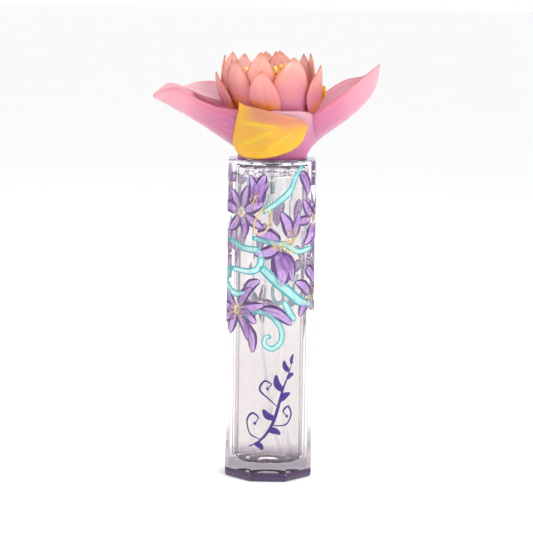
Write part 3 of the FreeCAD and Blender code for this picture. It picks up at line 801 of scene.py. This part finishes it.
SPRIG = [       # stem and tendrils of the printed sprig: widths at start, middle, end; route
    ((0.45, 1.15, 0.3), [(-9.5, 17.6), (-3.5, 21.0), (1.5, 28.0), (4.5, 37.0), (7.0, 47.0), (11.5, 58.0)]),
    ((0.3, 0.85, 0.25), [(-3.5, 21.0), (-9.0, 24.0), (-11.0, 30.0), (-8.0, 34.0), (-5.0, 32.0),
                         (-6.5, 29.2)]),
    ((0.3, 0.85, 0.25), [(1.5, 28.0), (8.0, 28.5), (11.5, 33.0), (9.5, 37.5), (6.9, 35.2), (8.7, 32.9)]),
    ((0.3, 0.75, 0.25), [(4.5, 37.0), (0.0, 41.0), (-4.4, 45.5), (-2.2, 49.8), (1.0, 48.2), (-0.6, 46.2)]),
]
SPRIG_LEAVES = [    # root, tip, width
    (-6.5, 19.2, -2.6, 15.9, 2.0), (0.0, 25.5, 5.8, 23.6, 2.2), (2.8, 31.5, -2.8, 36.0, 2.4),
    (5.3, 40.0, 10.8, 43.8, 2.2), (6.5, 45.0, 3.4, 53.0, 2.3), (8.6, 51.0, 13.0, 52.8, 1.8),
    (10.0, 54.4, 7.0, 60.0, 1.8), (11.5, 57.8, 12.6, 62.6, 1.6),
]
SPRIG_DOTS = [(-6.6, 29.0, 0.75), (8.8, 32.7, 0.75), (-0.7, 46.0, 0.7)]    # walk, height, radius


def on_glass(walk, height, lift):
    look = settings("glass")
    place, out = octagon_walk(walk * MM, FLATS / 2, look.corner)
    place = place + out * lift
    return (place.x, place.y, height * MM)


def stroke(maker, route, width, rows=16, columns=8, relief=None):
    """A raised stroke of enamel along a route, `width(u)` millimetres across."""
    look = settings("enamel")
    top_height = relief or look.relief
    step = 0.5 / rows

    def flat(u, v):
        walk, height = catmull(route, u)
        ahead = catmull(route, min(1.0, u + step))
        behind = catmull(route, max(0.0, u - step))
        run = Vector((ahead[0] - behind[0], ahead[1] - behind[1])).normalized()
        half = width(u) / 2
        return walk - run.y * half * v, height + run.x * half * v

    def top(u, v):
        return on_glass(*flat(u, v), top_height * (0.35 + 0.65 * math.sqrt(max(0.0, 1 - v * v))))

    def underside(u, v):
        return on_glass(*flat(u, v), -look.sunk)

    def values(u, v):
        return {"run": u, "side": max(abs(v), 1 - 9 * u, 1 - 9 * (1 - u)), "across": v}

    maker.sheet(top, underside, rows, columns, values)


def fan(first, last, index, spans):
    """Angle of one ray of a fan that opens from first to last, in degrees."""
    return math.radians(first + (last - first) * index / spans)


def polar(walk, height, reach, angle):
    return walk + reach * math.cos(angle), height + reach * math.sin(angle)


def on_pod(pod, across, up):
    """Place of a point given as shares of a pod's half width and half height."""
    walk, height, half_width, half_height, lean = pod
    turn = math.radians(lean)
    x, y = half_width * across, half_height * up
    return (walk + x * math.cos(turn) - y * math.sin(turn), height + x * math.sin(turn) + y * math.cos(turn))


def hump(share):
    """0 at both ends of 0..1 and 1 in the middle."""
    return math.sin(math.pi * share)


def petal_width(full):
    return lambda u: full * (0.10 + 0.98 * hump(u ** 0.78) ** 0.8) if u < 1 else 0.06 * full


def bent(root, tip, bow):
    """Three-point route from root to tip, bowed to one side."""
    across = (-(tip[1] - root[1]) * bow, (tip[0] - root[0]) * bow)
    middle = ((root[0] + tip[0]) / 2 + across[0], (root[1] + tip[1]) / 2 + across[1])
    return [root, middle, tip]


def enamel_petals():
    chance = random.Random(11)
    maker = MeshMaker(*MARKS)
    for walk, height, reach, first, last, count in BLOSSOMS:
        for index in range(count):
            angle = fan(first, last, index, max(1, count - 1))
            size = reach * chance.uniform(0.78, 1.0)
            root = polar(walk, height, 0.16 * reach, angle)
            tip = polar(walk, height, size, angle)
            route = bent(root, (tip[0], min(tip[1], ENAMEL_TOP)), chance.uniform(-0.16, 0.16))
            stroke(maker, route, petal_width(size * chance.uniform(0.36, 0.48)))
    for root_walk, root_height, tip_walk, tip_height, width in BUDS:
        route = bent((root_walk, root_height), (tip_walk, tip_height), 0.1)
        stroke(maker, route, petal_width(1.15 * width))
        stroke(maker, route, lambda u: 0.35 * hump(u) + 0.1, relief=0.3 * MM)
    return maker.finish("enamel_petals", violet_enamel())


def enamel_stems():
    maker = MeshMaker(*MARKS)
    for width, route in STEMS:
        stroke(maker, route, lambda u: width * (0.75 + 0.45 * hump(u)), rows=30)
    return maker.finish("enamel_stems", teal_enamel())


def enamel_gold():
    chance = random.Random(5)
    maker = MeshMaker(*MARKS)
    for walk, height, reach, first, last, _ in BLOSSOMS:
        for index in range(5):
            tip = polar(walk, height, reach * chance.uniform(0.30, 0.42), fan(first, last, index + 0.5, 5))
            route = bent((walk, height), tip, chance.uniform(-0.3, 0.3))
            stroke(maker, route, lambda u: 0.42 + 0.2 * u, rows=8, columns=4, relief=0.3 * MM)
    angles = [2 * math.pi * index / 12 for index in range(13)]
    for pod in PODS:
        ring = [on_pod(pod, math.cos(angle), math.sin(angle)) for angle in angles]
        stroke(maker, ring, lambda u: 1.25, rows=40, columns=4, relief=0.3 * MM)
    return maker.finish("enamel_gold_lines", gold_enamel())


def dot_places():
    """Points of the gold beads: stamen ends, and holes in the pods."""
    chance = random.Random(23)
    places = []
    for walk, height, reach, first, last, _ in BLOSSOMS:
        for index in range(9):
            size = reach * chance.uniform(0.12, 0.46)
            places.append(polar(walk, height, size, fan(first, last, index, 8)))
    for pod in PODS:
        places += [on_pod(pod, side, row) for row in (-0.55, 0.0, 0.55) for side in (-0.35, 0.35)]
    return [on_glass(walk, height, 0.1 * MM) for walk, height in places]


def printed_sprig():
    thin = 0.06 * MM
    maker = MeshMaker(*MARKS)
    for (start, middle, end), route in SPRIG:
        def width(u):
            swell = hump(u) ** 1.3
            return 1.35 * (start + (end - start) * u + (middle - (start + end) / 2) * swell)
        stroke(maker, route, width, rows=60, columns=4, relief=thin)
    for root_walk, root_height, tip_walk, tip_height, width in SPRIG_LEAVES:
        route = bent((root_walk, root_height), (tip_walk, tip_height), 0.15)
        stroke(maker, route, petal_width(1.35 * width), rows=14, columns=4, relief=thin)
    for walk, height, radius in SPRIG_DOTS:
        route = [(walk - radius, height), (walk, height), (walk + radius, height)]
        stroke(maker, route, lambda u: 2 * radius * math.sqrt(max(0.02, 1 - (2 * u - 1) ** 2)),
               rows=14, columns=4, relief=thin)
    return maker.finish("printed_sprig", printed_ink())


# ---- petals -----------------------------------------------------------------------------
CROWN_PITCH = 2.7 * MM
CROWN_BELLY = 3.5 * MM
CROWN_BELLY_HEIGHT = 17.0 * MM
CROWN_LEAN = -2.1 * MM
CROWN_LEAN_HEIGHT = 15.0 * MM

# Outer petals: azimuth, then stations from root to tip.  Each station is the keel's
# (radius, rise), and the left and right rims' (radius, distance aside, rise), millimetres.
LEAVES = {
    "leaf_right": (0, [
        ((14.5, 1.6), (17.5, 15.0, 25.0), (17.5, 15.0, 21.5)),
        ((23.5, 10.2), (25.4, 15.0, 31.0), (24.0, 15.5, 26.0)),
        ((37.0, 20.3), (35.5, 14.0, 36.9), (35.0, 13.0, 33.0)),
        ((47.6, 32.0), (43.8, 8.0, 39.8), (44.5, 7.0, 41.3)),
        ((50.7, 45.0), (50.6, 0.5, 45.6), (50.6, 0.5, 45.6))]),
    "leaf_left_front": (189, [
        ((14.5, 2.9), (18.5, 14.0, 23.5), (18.5, 13.0, 25.0)),
        ((23.0, 8.4), (29.0, 13.5, 25.2), (29.0, 14.0, 28.0)),
        ((34.0, 15.6), (39.0, 11.5, 29.6), (39.0, 12.0, 32.0)),
        ((46.5, 23.0), (48.5, 8.5, 33.6), (48.5, 8.0, 35.0)),
        ((57.6, 29.0), (57.5, 0.5, 30.0), (57.5, 0.5, 30.0))]),
    "leaf_left_back": (154, [
        ((17.0, 15.5), (19.0, 12.0, 24.5), (19.0, 12.0, 28.0)),
        ((27.0, 20.5), (27.0, 12.5, 27.5), (27.0, 13.0, 32.5)),
        ((36.0, 25.5), (36.0, 11.0, 30.7), (36.0, 12.0, 35.0)),
        ((44.0, 29.0), (44.0, 7.0, 32.0), (44.0, 8.0, 34.6)),
        ((50.5, 31.9), (50.5, 0.5, 32.3), (50.5, 0.5, 32.3))]),
    "leaf_back": (95, [
        ((14.5, 3.0), (17.5, 15.0, 23.0), (17.5, 15.0, 23.0)),
        ((24.0, 10.0), (25.0, 15.0, 27.5), (25.0, 15.0, 27.0)),
        ((34.0, 19.0), (34.0, 12.5, 33.0), (34.0, 12.5, 33.5)),
        ((41.5, 29.0), (41.0, 7.0, 37.0), (41.0, 7.0, 37.5)),
        ((45.5, 37.6), (45.5, 0.5, 38.2), (45.5, 0.5, 38.2))]),
    "leaf_front": (290, [
        ((17.2, 0.8), (14.2, 11.5, 1.6), (14.2, 11.5, 1.6)),
        ((19.8, 7.0), (16.6, 14.5, 9.0), (16.6, 14.5, 9.0)),
        ((21.6, 14.0), (17.2, 15.0, 16.5), (16.0, 16.5, 16.5)),
        ((22.8, 20.0), (19.2, 13.0, 21.5), (16.5, 16.5, 22.0)),
        ((23.6, 23.6), (23.2, 3.0, 23.6), (22.8, 5.0, 23.6))]),
}
# Yellow petals: (azimuth, rise) along the lower and the upper rim, from root to tip.
GOLD = {
    "gold_front": (
        [(312.0, 15.5), (308.0, 9.5), (294.0, 5.0), (270.0, 1.9), (246.0, 0.9), (224.0, 2.2), (212.0, 7.4)],
        [(310.0, 17.5), (301.0, 20.1), (285.0, 21.6), (268.0, 23.5), (252.0, 25.2), (241.0, 26.1),
         (235.5, 27.5)]),
    "gold_back": (
        [(57.0, 6.0), (49.0, 12.0), (40.0, 18.0), (29.0, 24.0), (19.0, 29.5)],
        [(59.0, 14.0), (54.0, 24.0), (46.0, 31.0), (34.0, 34.4), (21.0, 34.0)]),
}


def bowl(inset, height, azimuth):
    """Point on one of the crown's nested bowls, as the frame has them."""
    rise = height - DECK
    radius = HUB_RIM - inset + CROWN_BELLY * math.sin(math.pi / 2 * rise / CROWN_BELLY_HEIGHT)
    lean = CROWN_LEAN * math.sin(math.pi / 2 * max(0.0, min(1.0, rise / CROWN_LEAN_HEIGHT)))
    return Vector((radius * math.cos(azimuth) + lean, radius * math.sin(azimuth), height))


def petal(name, surface, finish, extra=None):
    """Closed petal about a middle surface(u, v), thick in the middle and fine at its rims."""
    look = settings("flower")
    step = 0.01
    maker = MeshMaker(*MARKS, "crease")

    def offset(u, v, sign):
        along = surface(min(1.0, u + step), v) - surface(max(0.0, u - step), v)
        across = surface(u, min(1.0, v + step)) - surface(u, max(-1.0, v - step))
        normal = along.cross(across).normalized()
        swell = math.sqrt(max(0.0, 1 - abs(v) ** 3)) * math.sqrt(max(0.0, 1 - u ** 6))
        half = (look.edge + (look.thickness - look.edge) * swell) / 2
        return tuple(surface(u, v) + normal * half * sign)

    def values(u, v):
        rim = max(abs(v), (u - 0.6) / 0.4)
        return {"run": u, "side": rim, "across": v, "crease": extra(u, v) if extra else 0.0}

    maker.sheet(lambda u, v: offset(u, v, -1), lambda u, v: offset(u, v, 1),
                look.rows, look.columns, values)
    return maker.finish(name, finish)


def crown_petal(node):
    """A crown petal on its bowl, with the place and breadth of its CAD node."""
    places = [vertex.co for vertex in NODES[node].data.vertices]
    low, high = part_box(node)
    middle = sum((Vector((p.x, p.y, 0)) for p in places), Vector()) / len(places)
    azimuth = math.atan2(middle.y, middle.x)
    half = max(abs(math.remainder(math.atan2(p.y, p.x) - azimuth, 2 * math.pi)) for p in places) * 1.10
    layer = {"outer": 0, "middle": 1, "inner": 2}[node.split("_")[1]]
    chance = random.Random(node)
    sway = chance.uniform(-0.05, 0.05)
    curl = chance.uniform(0.2, 1.2) * MM
    lap = 1.6 * MM

    def surface(u, v):
        height = low.z - lap + (high.z - low.z + lap) * u
        swell = 0.72 + 0.28 * math.sin(math.pi / 2 * min(1.0, u / 0.5))
        width = 0.05 + 0.95 * swell * (1 - u ** 2.7) ** 0.80
        turn = azimuth + sway * u * u + half * width * v
        height -= 0.9 * MM * v * v * u
        point = bowl(CROWN_PITCH * layer + 0.55 * MM, height, turn)
        out = Vector((math.cos(turn), math.sin(turn), 0))
        belly = 0.75 * MM * math.cos(math.pi / 2 * v) * hump(min(1.0, u * 1.1))
        stagger = (int(node[-1]) % 2 - 0.5) * 0.8 * MM
        groove = -0.35 * MM * math.exp(-(v / 0.12) ** 2) * hump(u)
        flick = curl * max(0.0, u - 0.72) / 0.28
        return point + out * (belly + groove + flick + stagger)

    return petal(node.replace("_", "-"), surface, coral_resin())


def leaf_petal(node):
    """An outer petal between a keel and two rims."""
    azimuth, stations = LEAVES[node]
    turn = math.radians(azimuth)
    out = Vector((math.cos(turn), math.sin(turn), 0))
    left = Vector((-out.y, out.x, 0))
    keel = [station[0] for station in stations]
    rims = {1: [station[1] for station in stations], -1: [station[2] for station in stations]}
    wave = random.Random(node).uniform(0, 6)

    def surface(u, v):
        keel_radius, keel_rise = catmull(keel, u)
        side = 1 if v >= 0 else -1
        radius, aside, rise = catmull(rims[side], u)
        reach = 1 - math.cos(math.pi / 2 * v)
        point = out * (keel_radius + (radius - keel_radius) * reach)
        point += left * (side * aside * math.sin(math.pi / 2 * abs(v)))
        ripple = 0.5 * math.sin(wave + 7 * u) * v * v * hump(u)
        vein = 0.35 * math.exp(-(v / 0.1) ** 2) * hump(u)
        point.z = keel_rise + (rise - keel_rise) * reach + ripple + vein
        return Vector((point.x * MM, point.y * MM, CAP_BOTTOM + point.z * MM))

    return petal(node.replace("_", "-"), surface, rose_resin())


def gold_petal(node):
    """A yellow petal that wraps the goblet."""
    lower, upper = GOLD[node]
    front = node == "gold_front"

    def surface(u, v):
        t = (v + 1) / 2
        azimuth, rise = (a + (b - a) * t for a, b in zip(catmull(lower, u), catmull(upper, u)))
        standoff = 3.2 if front else -0.1 + 4.9 * u
        bulge = 1.6 * hump(min(1.0, max(0.0, rise / 26.0))) if front else 0.0
        folds = 0.35 * math.sin(9 * t + 5 * u) * hump(u)
        return bowl(-(standoff + bulge + folds) * MM, CAP_BOTTOM + rise * MM, math.radians(azimuth))

    def crease(u, v):
        """Three bright folds that run out from the petal's middle, each from (start_u, start_v)."""
        folds = ((0.42, 0.35, 0.0, 0.50), (0.42, 0.30, -0.75, 0.42), (0.30, 0.05, -1.0, 0.25))
        bright = 0.0
        for start_u, start_v, slope, reach in folds:
            along = (u - start_u) / reach
            gap = abs(v - (start_v + slope * (u - start_u) * 3))
            if 0 < along < 1:
                bright = max(bright, math.exp(-(gap / 0.075) ** 2) * hump(along) ** 0.5)
        return bright

    return petal(node.replace("_", "-"), surface, amber_resin(), crease if front else None)


# ---- geometry nodes ---------------------------------------------------------------------
class Builder:
    """Builds one geometry node tree and turns it into a plain mesh."""

    def __init__(self, name, **sizes):
        self.tree = bpy.data.node_groups.new(name, "GeometryNodeTree")
        self.tree.interface.new_socket("Geometry", in_out="INPUT", socket_type="NodeSocketGeometry")
        self.sizes = sizes
        self.sockets = {}
        for key, value in sizes.items():
            kind = "NodeSocketInt" if isinstance(value, int) else "NodeSocketFloat"
            self.sockets[key] = self.tree.interface.new_socket(key, in_out="INPUT", socket_type=kind)
        self.tree.interface.new_socket("Geometry", in_out="OUTPUT", socket_type="NodeSocketGeometry")
        self.inlet = self.tree.nodes.new("NodeGroupInput")

    def size(self, key):
        return self.inlet.outputs[key]

    def node(self, kind, options=None, sockets=None, out=0):
        node = self.tree.nodes.new(kind)
        for key, value in (options or {}).items():
            setattr(node, key, value)
        for key, value in (sockets or {}).items():
            if isinstance(value, bpy.types.NodeSocket):
                self.tree.links.new(value, node.inputs[key])
            else:
                node.inputs[key].default_value = value
        return node.outputs[out]

    def vector(self, x, y, z):
        return self.node("ShaderNodeCombineXYZ", {}, {"X": x, "Y": y, "Z": z})

    def finish(self, geometry, name, finish, base=None):
        real = self.node("GeometryNodeRealizeInstances", {}, {"Geometry": geometry})
        smooth = self.node("GeometryNodeSetShadeSmooth", {}, {"Geometry": real})
        painted = self.node("GeometryNodeSetMaterial", {}, {"Geometry": smooth, "Material": finish})
        outlet = self.tree.nodes.new("NodeGroupOutput")
        self.tree.links.new(painted, outlet.inputs["Geometry"])
        carrier = put_in_scene(name, base or bpy.data.meshes.new(name))
        modifier = carrier.modifiers.new("Nodes", "NODES")
        modifier.node_group = self.tree
        for key, value in self.sizes.items():
            modifier[self.sockets[key].identifier] = value
        evaluated = carrier.evaluated_get(bpy.context.evaluated_depsgraph_get())
        plain = bpy.data.meshes.new_from_object(evaluated)
        carrier.modifiers.clear()
        carrier.data = plain
        plain.name = name
        plain.materials.clear()
        plain.materials.append(finish)
        return carrier


def ring_of(builder, count, radius, height, thing, tilt, low_scale, high_scale, seed):
    """Copies of a thing stood on a circle, each turned to face outwards and tilted."""
    circle_mesh = builder.node("GeometryNodeMeshCircle", {}, {"Vertices": count, "Radius": radius})
    lift = builder.vector(0.0, 0.0, height)
    raised = builder.node("GeometryNodeTransform", {}, {"Geometry": circle_mesh, "Translation": lift})
    place = builder.node("GeometryNodeInputPosition")
    flat = builder.node("ShaderNodeVectorMath", {"operation": "MULTIPLY"}, {0: place, 1: (1.0, 1.0, 0.0)})
    turn = builder.node("FunctionNodeAlignRotationToVector", {"axis": "X"}, {"Vector": flat})
    lean = builder.node("FunctionNodeRotateRotation", {"rotation_space": "LOCAL"},
                        {"Rotation": turn, "Rotate By": (0.0, tilt, 0.0)})
    scale = builder.node("FunctionNodeRandomValue", {"data_type": "FLOAT"},
                         {2: low_scale, 3: high_scale, "Seed": seed}, out=1)
    return builder.node("GeometryNodeInstanceOnPoints", {},
                        {"Points": raised, "Instance": thing, "Rotation": lean, "Scale": scale})


def spring_coil():
    look = settings("pump")
    low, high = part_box("return_spring")
    builder = Builder("spring_coil", Turns=look.turns, Coil=look.coil, Wire=look.wire,
                      Height=high.z - low.z - 2 * look.wire, Foot=low.z + look.wire)
    spiral = builder.node("GeometryNodeCurveSpiral", {}, {
        "Resolution": 40, "Rotations": builder.size("Turns"), "Start Radius": builder.size("Coil"),
        "End Radius": builder.size("Coil"), "Height": builder.size("Height")})
    section = builder.node("GeometryNodeCurvePrimitiveCircle", {"mode": "RADIUS"},
                           {"Resolution": 12, "Radius": builder.size("Wire")})
    wire = builder.node("GeometryNodeCurveToMesh", {},
                        {"Curve": spiral, "Profile Curve": section, "Fill Caps": True})
    lift = builder.vector(0.0, 0.0, builder.size("Foot"))
    placed = builder.node("GeometryNodeTransform", {}, {"Geometry": wire, "Translation": lift})
    return builder.finish(placed, "spring_coil", spring_steel())


def stamens():
    """Two rings of stamens, each a bent filament with an oval anther."""
    look = settings("pump")
    top = node_top("flower_hub")
    builder = Builder("stamens", Count=look.stamens, Ring=6.2 * MM, Filament=0.42 * MM,
                      Anther=0.95 * MM, Foot=top - 0.3 * MM)
    line = builder.node("GeometryNodeCurvePrimitiveBezierSegment", {}, {
        "Resolution": 10, "Start": (0.0, 0.0, 0.0), "Start Handle": (0.0002, 0.0, 0.004),
        "End Handle": (0.0014, 0.0, 0.007), "End": (0.0030, 0.0, 0.0098)})
    section = builder.node("GeometryNodeCurvePrimitiveCircle", {"mode": "RADIUS"},
                           {"Resolution": 8, "Radius": builder.size("Filament")})
    filament = builder.node("GeometryNodeCurveToMesh", {},
                            {"Curve": line, "Profile Curve": section, "Fill Caps": True})
    ball = builder.node("GeometryNodeMeshUVSphere", {},
                        {"Segments": 12, "Rings": 8, "Radius": builder.size("Anther")})
    anther = builder.node("GeometryNodeTransform", {}, {
        "Geometry": ball, "Translation": (0.0031, 0.0, 0.0102), "Scale": (0.8, 0.8, 1.5),
        "Rotation": (0.0, 0.5, 0.0)})
    join = builder.tree.nodes.new("GeometryNodeJoinGeometry")
    for part in (filament, anther):
        builder.tree.links.new(part, join.inputs[0])
    rings = builder.tree.nodes.new("GeometryNodeJoinGeometry")
    for shrink, tilt, seed in ((1.0, 0.35, 3), (0.55, 0.1, 8)):
        radius = builder.node("ShaderNodeMath", {"operation": "MULTIPLY"},
                              {0: builder.size("Ring"), 1: shrink})
        ring = ring_of(builder, builder.size("Count"), radius, builder.size("Foot"), join.outputs[0],
                       tilt, 0.8, 1.08, seed)
        builder.tree.links.new(ring, rings.inputs[0])
    return builder.finish(rings.outputs[0], "stamens", stamen_resin())


def grip_ribs():
    """Upright ribs inside the cap's insert that grip the collar."""
    look = settings("pump")
    bore = node_radius("collar_shell")
    low = node_bottom("cap_insert")
    builder = Builder("grip_ribs", Count=look.ribs, Bore=bore + 0.16 * MM, Foot=low + 6.0 * MM)
    box = builder.node("GeometryNodeMeshCube", {}, {"Size": (0.20 * MM, 0.5 * MM, 9.0 * MM)})
    ring = ring_of(builder, builder.size("Count"), builder.size("Bore"), builder.size("Foot"), box,
                   0.0, 1.0, 1.0, 1)
    return builder.finish(ring, "grip_ribs", white_plastic())


def gold_beads():
    """Beads of gold enamel at the stamens' ends and in the pods."""
    places = bpy.data.meshes.new("gold_beads")
    places.from_pydata(dot_places(), [], [])
    builder = Builder("gold_beads", Bead=0.42 * MM)
    ball = builder.node("GeometryNodeMeshIcoSphere", {},
                        {"Radius": builder.size("Bead"), "Subdivisions": 2})
    scale = builder.node("FunctionNodeRandomValue", {"data_type": "FLOAT"}, {2: 0.6, 3: 1.15, "Seed": 4},
                         out=1)
    beads = builder.node("GeometryNodeInstanceOnPoints", {},
                         {"Points": builder.inlet.outputs["Geometry"], "Instance": ball, "Scale": scale})
    return builder.finish(beads, "gold_beads", gold_enamel(), places)


# ---- hub --------------------------------------------------------------------------------
def hub():
    """The goblet, the petal deck and the dome over the insert, as one turned shell."""
    foot = node_radius("flower_hub")
    low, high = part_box("flower_hub")
    rise = DECK - low.z
    insert = node_radius("cap_insert")
    bore = 10.6 * MM
    pinch = 0.001 * MM
    flange = low.z + 1.8 * MM
    ceiling = node_top("cap_insert")
    wall = [(17.0 * MM, low.z), (16.4 * MM, low.z + 0.22 * rise), (18.4 * MM, low.z + 0.6 * rise),
            (foot, DECK - 0.1 * MM)]
    outline = [(insert, low.z + 0.02 * MM)]
    outline += [tuple(catmull(wall, index / 16)) for index in range(17)]
    outline += [(bore + 2.6 * MM, DECK), (bore + 1.6 * MM, ceiling - 1.6 * MM)]
    outline += arc((bore - 1.6 * MM, high.z - 3.0 * MM), 3.0 * MM, 20, 90, 6) + [(pinch, high.z)]
    under = [(pinch, ceiling), (bore, ceiling), (bore, flange), (insert, flange)]
    rings = [circle(radius, height, 96) for radius, height in outline + under]
    piece = lofted("flower_hub", rings + rings[:1], rose_resin(), closed=False)
    with edited(piece.data) as work:
        bmesh.ops.remove_doubles(work, verts=work.verts, dist=3 * pinch)
    outward(piece.data)
    smooth_by_angle(piece, 35)
    return piece


# ---- operators --------------------------------------------------------------------------
LIGHTS = [      # place, size, power
    ((0.55, -0.55, 0.60), 0.45, 7.0),
    ((-0.70, -0.35, 0.35), 0.60, 2.0),
    ((0.15, 0.60, 0.75), 0.50, 3.0),
]


class LILY_OT_glass(bpy.types.Operator):
    """Make the octagonal glass, its violet foot and the perfume inside"""
    bl_idname = "lily.glass"
    bl_label = "Glass, foot and perfume"

    def execute(self, context):
        place_on(glass_body(), "bottle", "clear_glass", "glass_bottle")
        place_on(foot_plate(), "bottle", "violet_glass", "tinted_foot")
        place_on(liquid(), "bottle", "clear_glass")
        return {"FINISHED"}


class LILY_OT_enamel(bpy.types.Operator):
    """Lay the enamel blossoms, stems and gold beads round the glass"""
    bl_idname = "lily.enamel"
    bl_label = "Enamel flowers"

    def execute(self, context):
        place_on(enamel_petals(), "bottle", "violet_glass")
        place_on(enamel_stems(), "bottle", "clear_glass")
        place_on(enamel_gold(), "bottle", "gold_aluminium")
        place_on(gold_beads(), "bottle", "gold_aluminium")
        return {"FINISHED"}


class LILY_OT_sprig(bpy.types.Operator):
    """Print the indigo sprig on the front facet"""
    bl_idname = "lily.sprig"
    bl_label = "Printed sprig"

    def execute(self, context):
        place_on(printed_sprig(), "bottle", "violet_glass")
        return {"FINISHED"}


class LILY_OT_crown(bpy.types.Operator):
    """Make the upright coral petals of the bud"""
    bl_idname = "lily.crown"
    bl_label = "Crown petals"

    def execute(self, context):
        for node in CROWN_NODES:
            place_on(crown_petal(node), "cap", "coral_resin", node)
        return {"FINISHED"}


class LILY_OT_leaves(bpy.types.Operator):
    """Make the large pink outer petals"""
    bl_idname = "lily.leaves"
    bl_label = "Outer petals"

    def execute(self, context):
        for node in LEAVES:
            place_on(leaf_petal(node), "cap", "rose_resin", node)
        return {"FINISHED"}


class LILY_OT_gold(bpy.types.Operator):
    """Make the yellow petals"""
    bl_idname = "lily.gold"
    bl_label = "Yellow petals"

    def execute(self, context):
        for node in GOLD:
            place_on(gold_petal(node), "cap", "amber_resin", node)
        return {"FINISHED"}


class LILY_OT_hub(bpy.types.Operator):
    """Make the hub that holds the petals, and the stamens on it"""
    bl_idname = "lily.hub"
    bl_label = "Hub and stamens"

    def execute(self, context):
        place_on(hub(), "cap", "rose_resin", "flower_hub")
        place_on(stamens(), "cap", "amber_resin", "stamen_cluster")
        return {"FINISHED"}


class LILY_OT_pump(bpy.types.Operator):
    """Finish the pump's pieces and wind its spring"""
    bl_idname = "lily.pump"
    bl_label = "Pump"

    def execute(self, context):
        finishes = {
            white_plastic: ("stem_guide", "stem", "actuator_core", "spray_insert", "collar_liner",
                            "cap_insert"),
            natural_plastic: ("piston",),
            clear_plastic: ("pump_housing", "dip_tube"),
            seal_rubber: ("neck_gasket", "stem_seal"),
            aluminium: ("ferrule",),
            gold_aluminium: ("collar_shell", "actuator_shell"),
            spring_steel: ("check_ball",),
        }
        for finish, nodes in finishes.items():
            for node in nodes:
                NODES[node].data.materials.clear()
                NODES[node].data.materials.append(finish())
        spring = place_on(spring_coil(), "bottle", "spring_steel", "return_spring")
        foot = node_bottom("return_spring")
        tall = node_top("return_spring") - foot
        stroke_length = next(j["range_m"][1] for j in frame["joints"] if j["name"] == "stem_press")
        1 - stroke_length / tall
        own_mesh(spring)
        place_on(grip_ribs(), "cap", "white_plastic")
        return {"FINISHED"}


class LILY_OT_stage(bpy.types.Operator):
    """Set the floor, the lights, the pale surround and the camera"""
    bl_idname = "lily.stage"
    bl_label = "Stage"

    def execute(self, context):
        floor_plane()
        surround()
        for place, size, power in LIGHTS:
            area_light(place, size, power)
        camera()
        return {"FINISHED"}


def floor_plane():
    mesh = bpy.data.meshes.new("Floor")
    half = 60.0
    mesh.from_pydata([(-half, -half, 0), (half, -half, 0), (half, half, 0), (-half, half, 0)], [],
                     [(0, 1, 2, 3)])
    add_object("Floor", mesh, pale_floor())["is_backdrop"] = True


def surround():
    world = bpy.data.worlds.new("Pale surround")
    bpy.context.scene.world = world
    world.use_nodes = True
    background = world.node_tree.nodes["Background"]
    background.inputs["Color"].default_value = (1.0, 1.0, 1.0, 1.0)
    background.inputs["Strength"].default_value = 1.0


def area_light(place, size, power):
    lamp = bpy.data.lights.new("Soft light", "AREA")
    lamp.size = size
    lamp.energy = power
    holder = put_in_scene("Soft light", lamp)
    holder.location = place
    aim = Vector((0, 0, 0.1)) - Vector(place)
    holder.rotation_euler = aim.to_track_quat("-Z", "Y").to_euler()


def camera():
    look = settings("stage")
    data = bpy.data.cameras.new("Camera")
    data.lens = look.lens
    data.clip_start = 0.01
    holder = put_in_scene("Camera", data)
    forward = Vector((math.sin(look.yaw) * math.cos(look.pitch), math.cos(look.yaw) * math.cos(look.pitch),
                      -math.sin(look.pitch)))
    level = Vector((math.cos(look.yaw), -math.sin(look.yaw), 0))
    upward = level.cross(forward)
    right = level * math.cos(look.roll) + upward * math.sin(look.roll)
    top = upward * math.cos(look.roll) - level * math.sin(look.roll)
    matrix = Matrix((right, top, -forward)).transposed().to_4x4()
    matrix.translation = Vector((0, -look.distance, look.height))
    holder.matrix_world = matrix
    bpy.context.scene.camera = holder
    bpy.context.scene.view_settings.view_transform = "Standard"
    bpy.context.scene.cycles.max_bounces = 24
    bpy.context.scene.cycles.transmission_bounces = 20
    bpy.context.scene.cycles.transparent_max_bounces = 24


OPERATORS = [LILY_OT_stage, LILY_OT_glass, LILY_OT_enamel, LILY_OT_sprig, LILY_OT_crown,
             LILY_OT_leaves, LILY_OT_gold, LILY_OT_hub, LILY_OT_pump]


class LILY_PT_panel(bpy.types.Panel):
    """Lists the bottle's makers in the sidebar"""
    bl_idname = "LILY_PT_panel"
    bl_label = "Lily bottle"
    bl_space_type = "VIEW_3D"
    bl_region_type = "UI"
    bl_category = "Bottle"

    def draw(self, context):
        for operator in OPERATORS:
            self.layout.operator(operator.bl_idname)
        for name, group in SETTINGS.items():
            box = self.layout.box()
            box.label(text=name.capitalize())
            for key in group.__annotations__:
                box.prop(settings(name), key)


CLASSES = [*SETTINGS.values(), *OPERATORS, LILY_PT_panel]


def register():
    for item in CLASSES:
        bpy.utils.register_class(item)
    for name, group in SETTINGS.items():
        setattr(bpy.types.Scene, "lily_" + name, PointerProperty(type=group))


def unregister():
    for name in SETTINGS:
        delattr(bpy.types.Scene, "lily_" + name)
    for item in reversed(CLASSES):
        bpy.utils.unregister_class(item)


def plain(bounds):
    return [[float(part) for part in corner] for corner in bounds]


def main():
    register()
    for operator in OPERATORS:
        group, name = operator.bl_idname.split(".")
        getattr(getattr(bpy.ops, group), name)()
    {"cad": plain(CAD_BOUNDS), "visual": plain(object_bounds())}


if __name__ == "__main__":
    main()
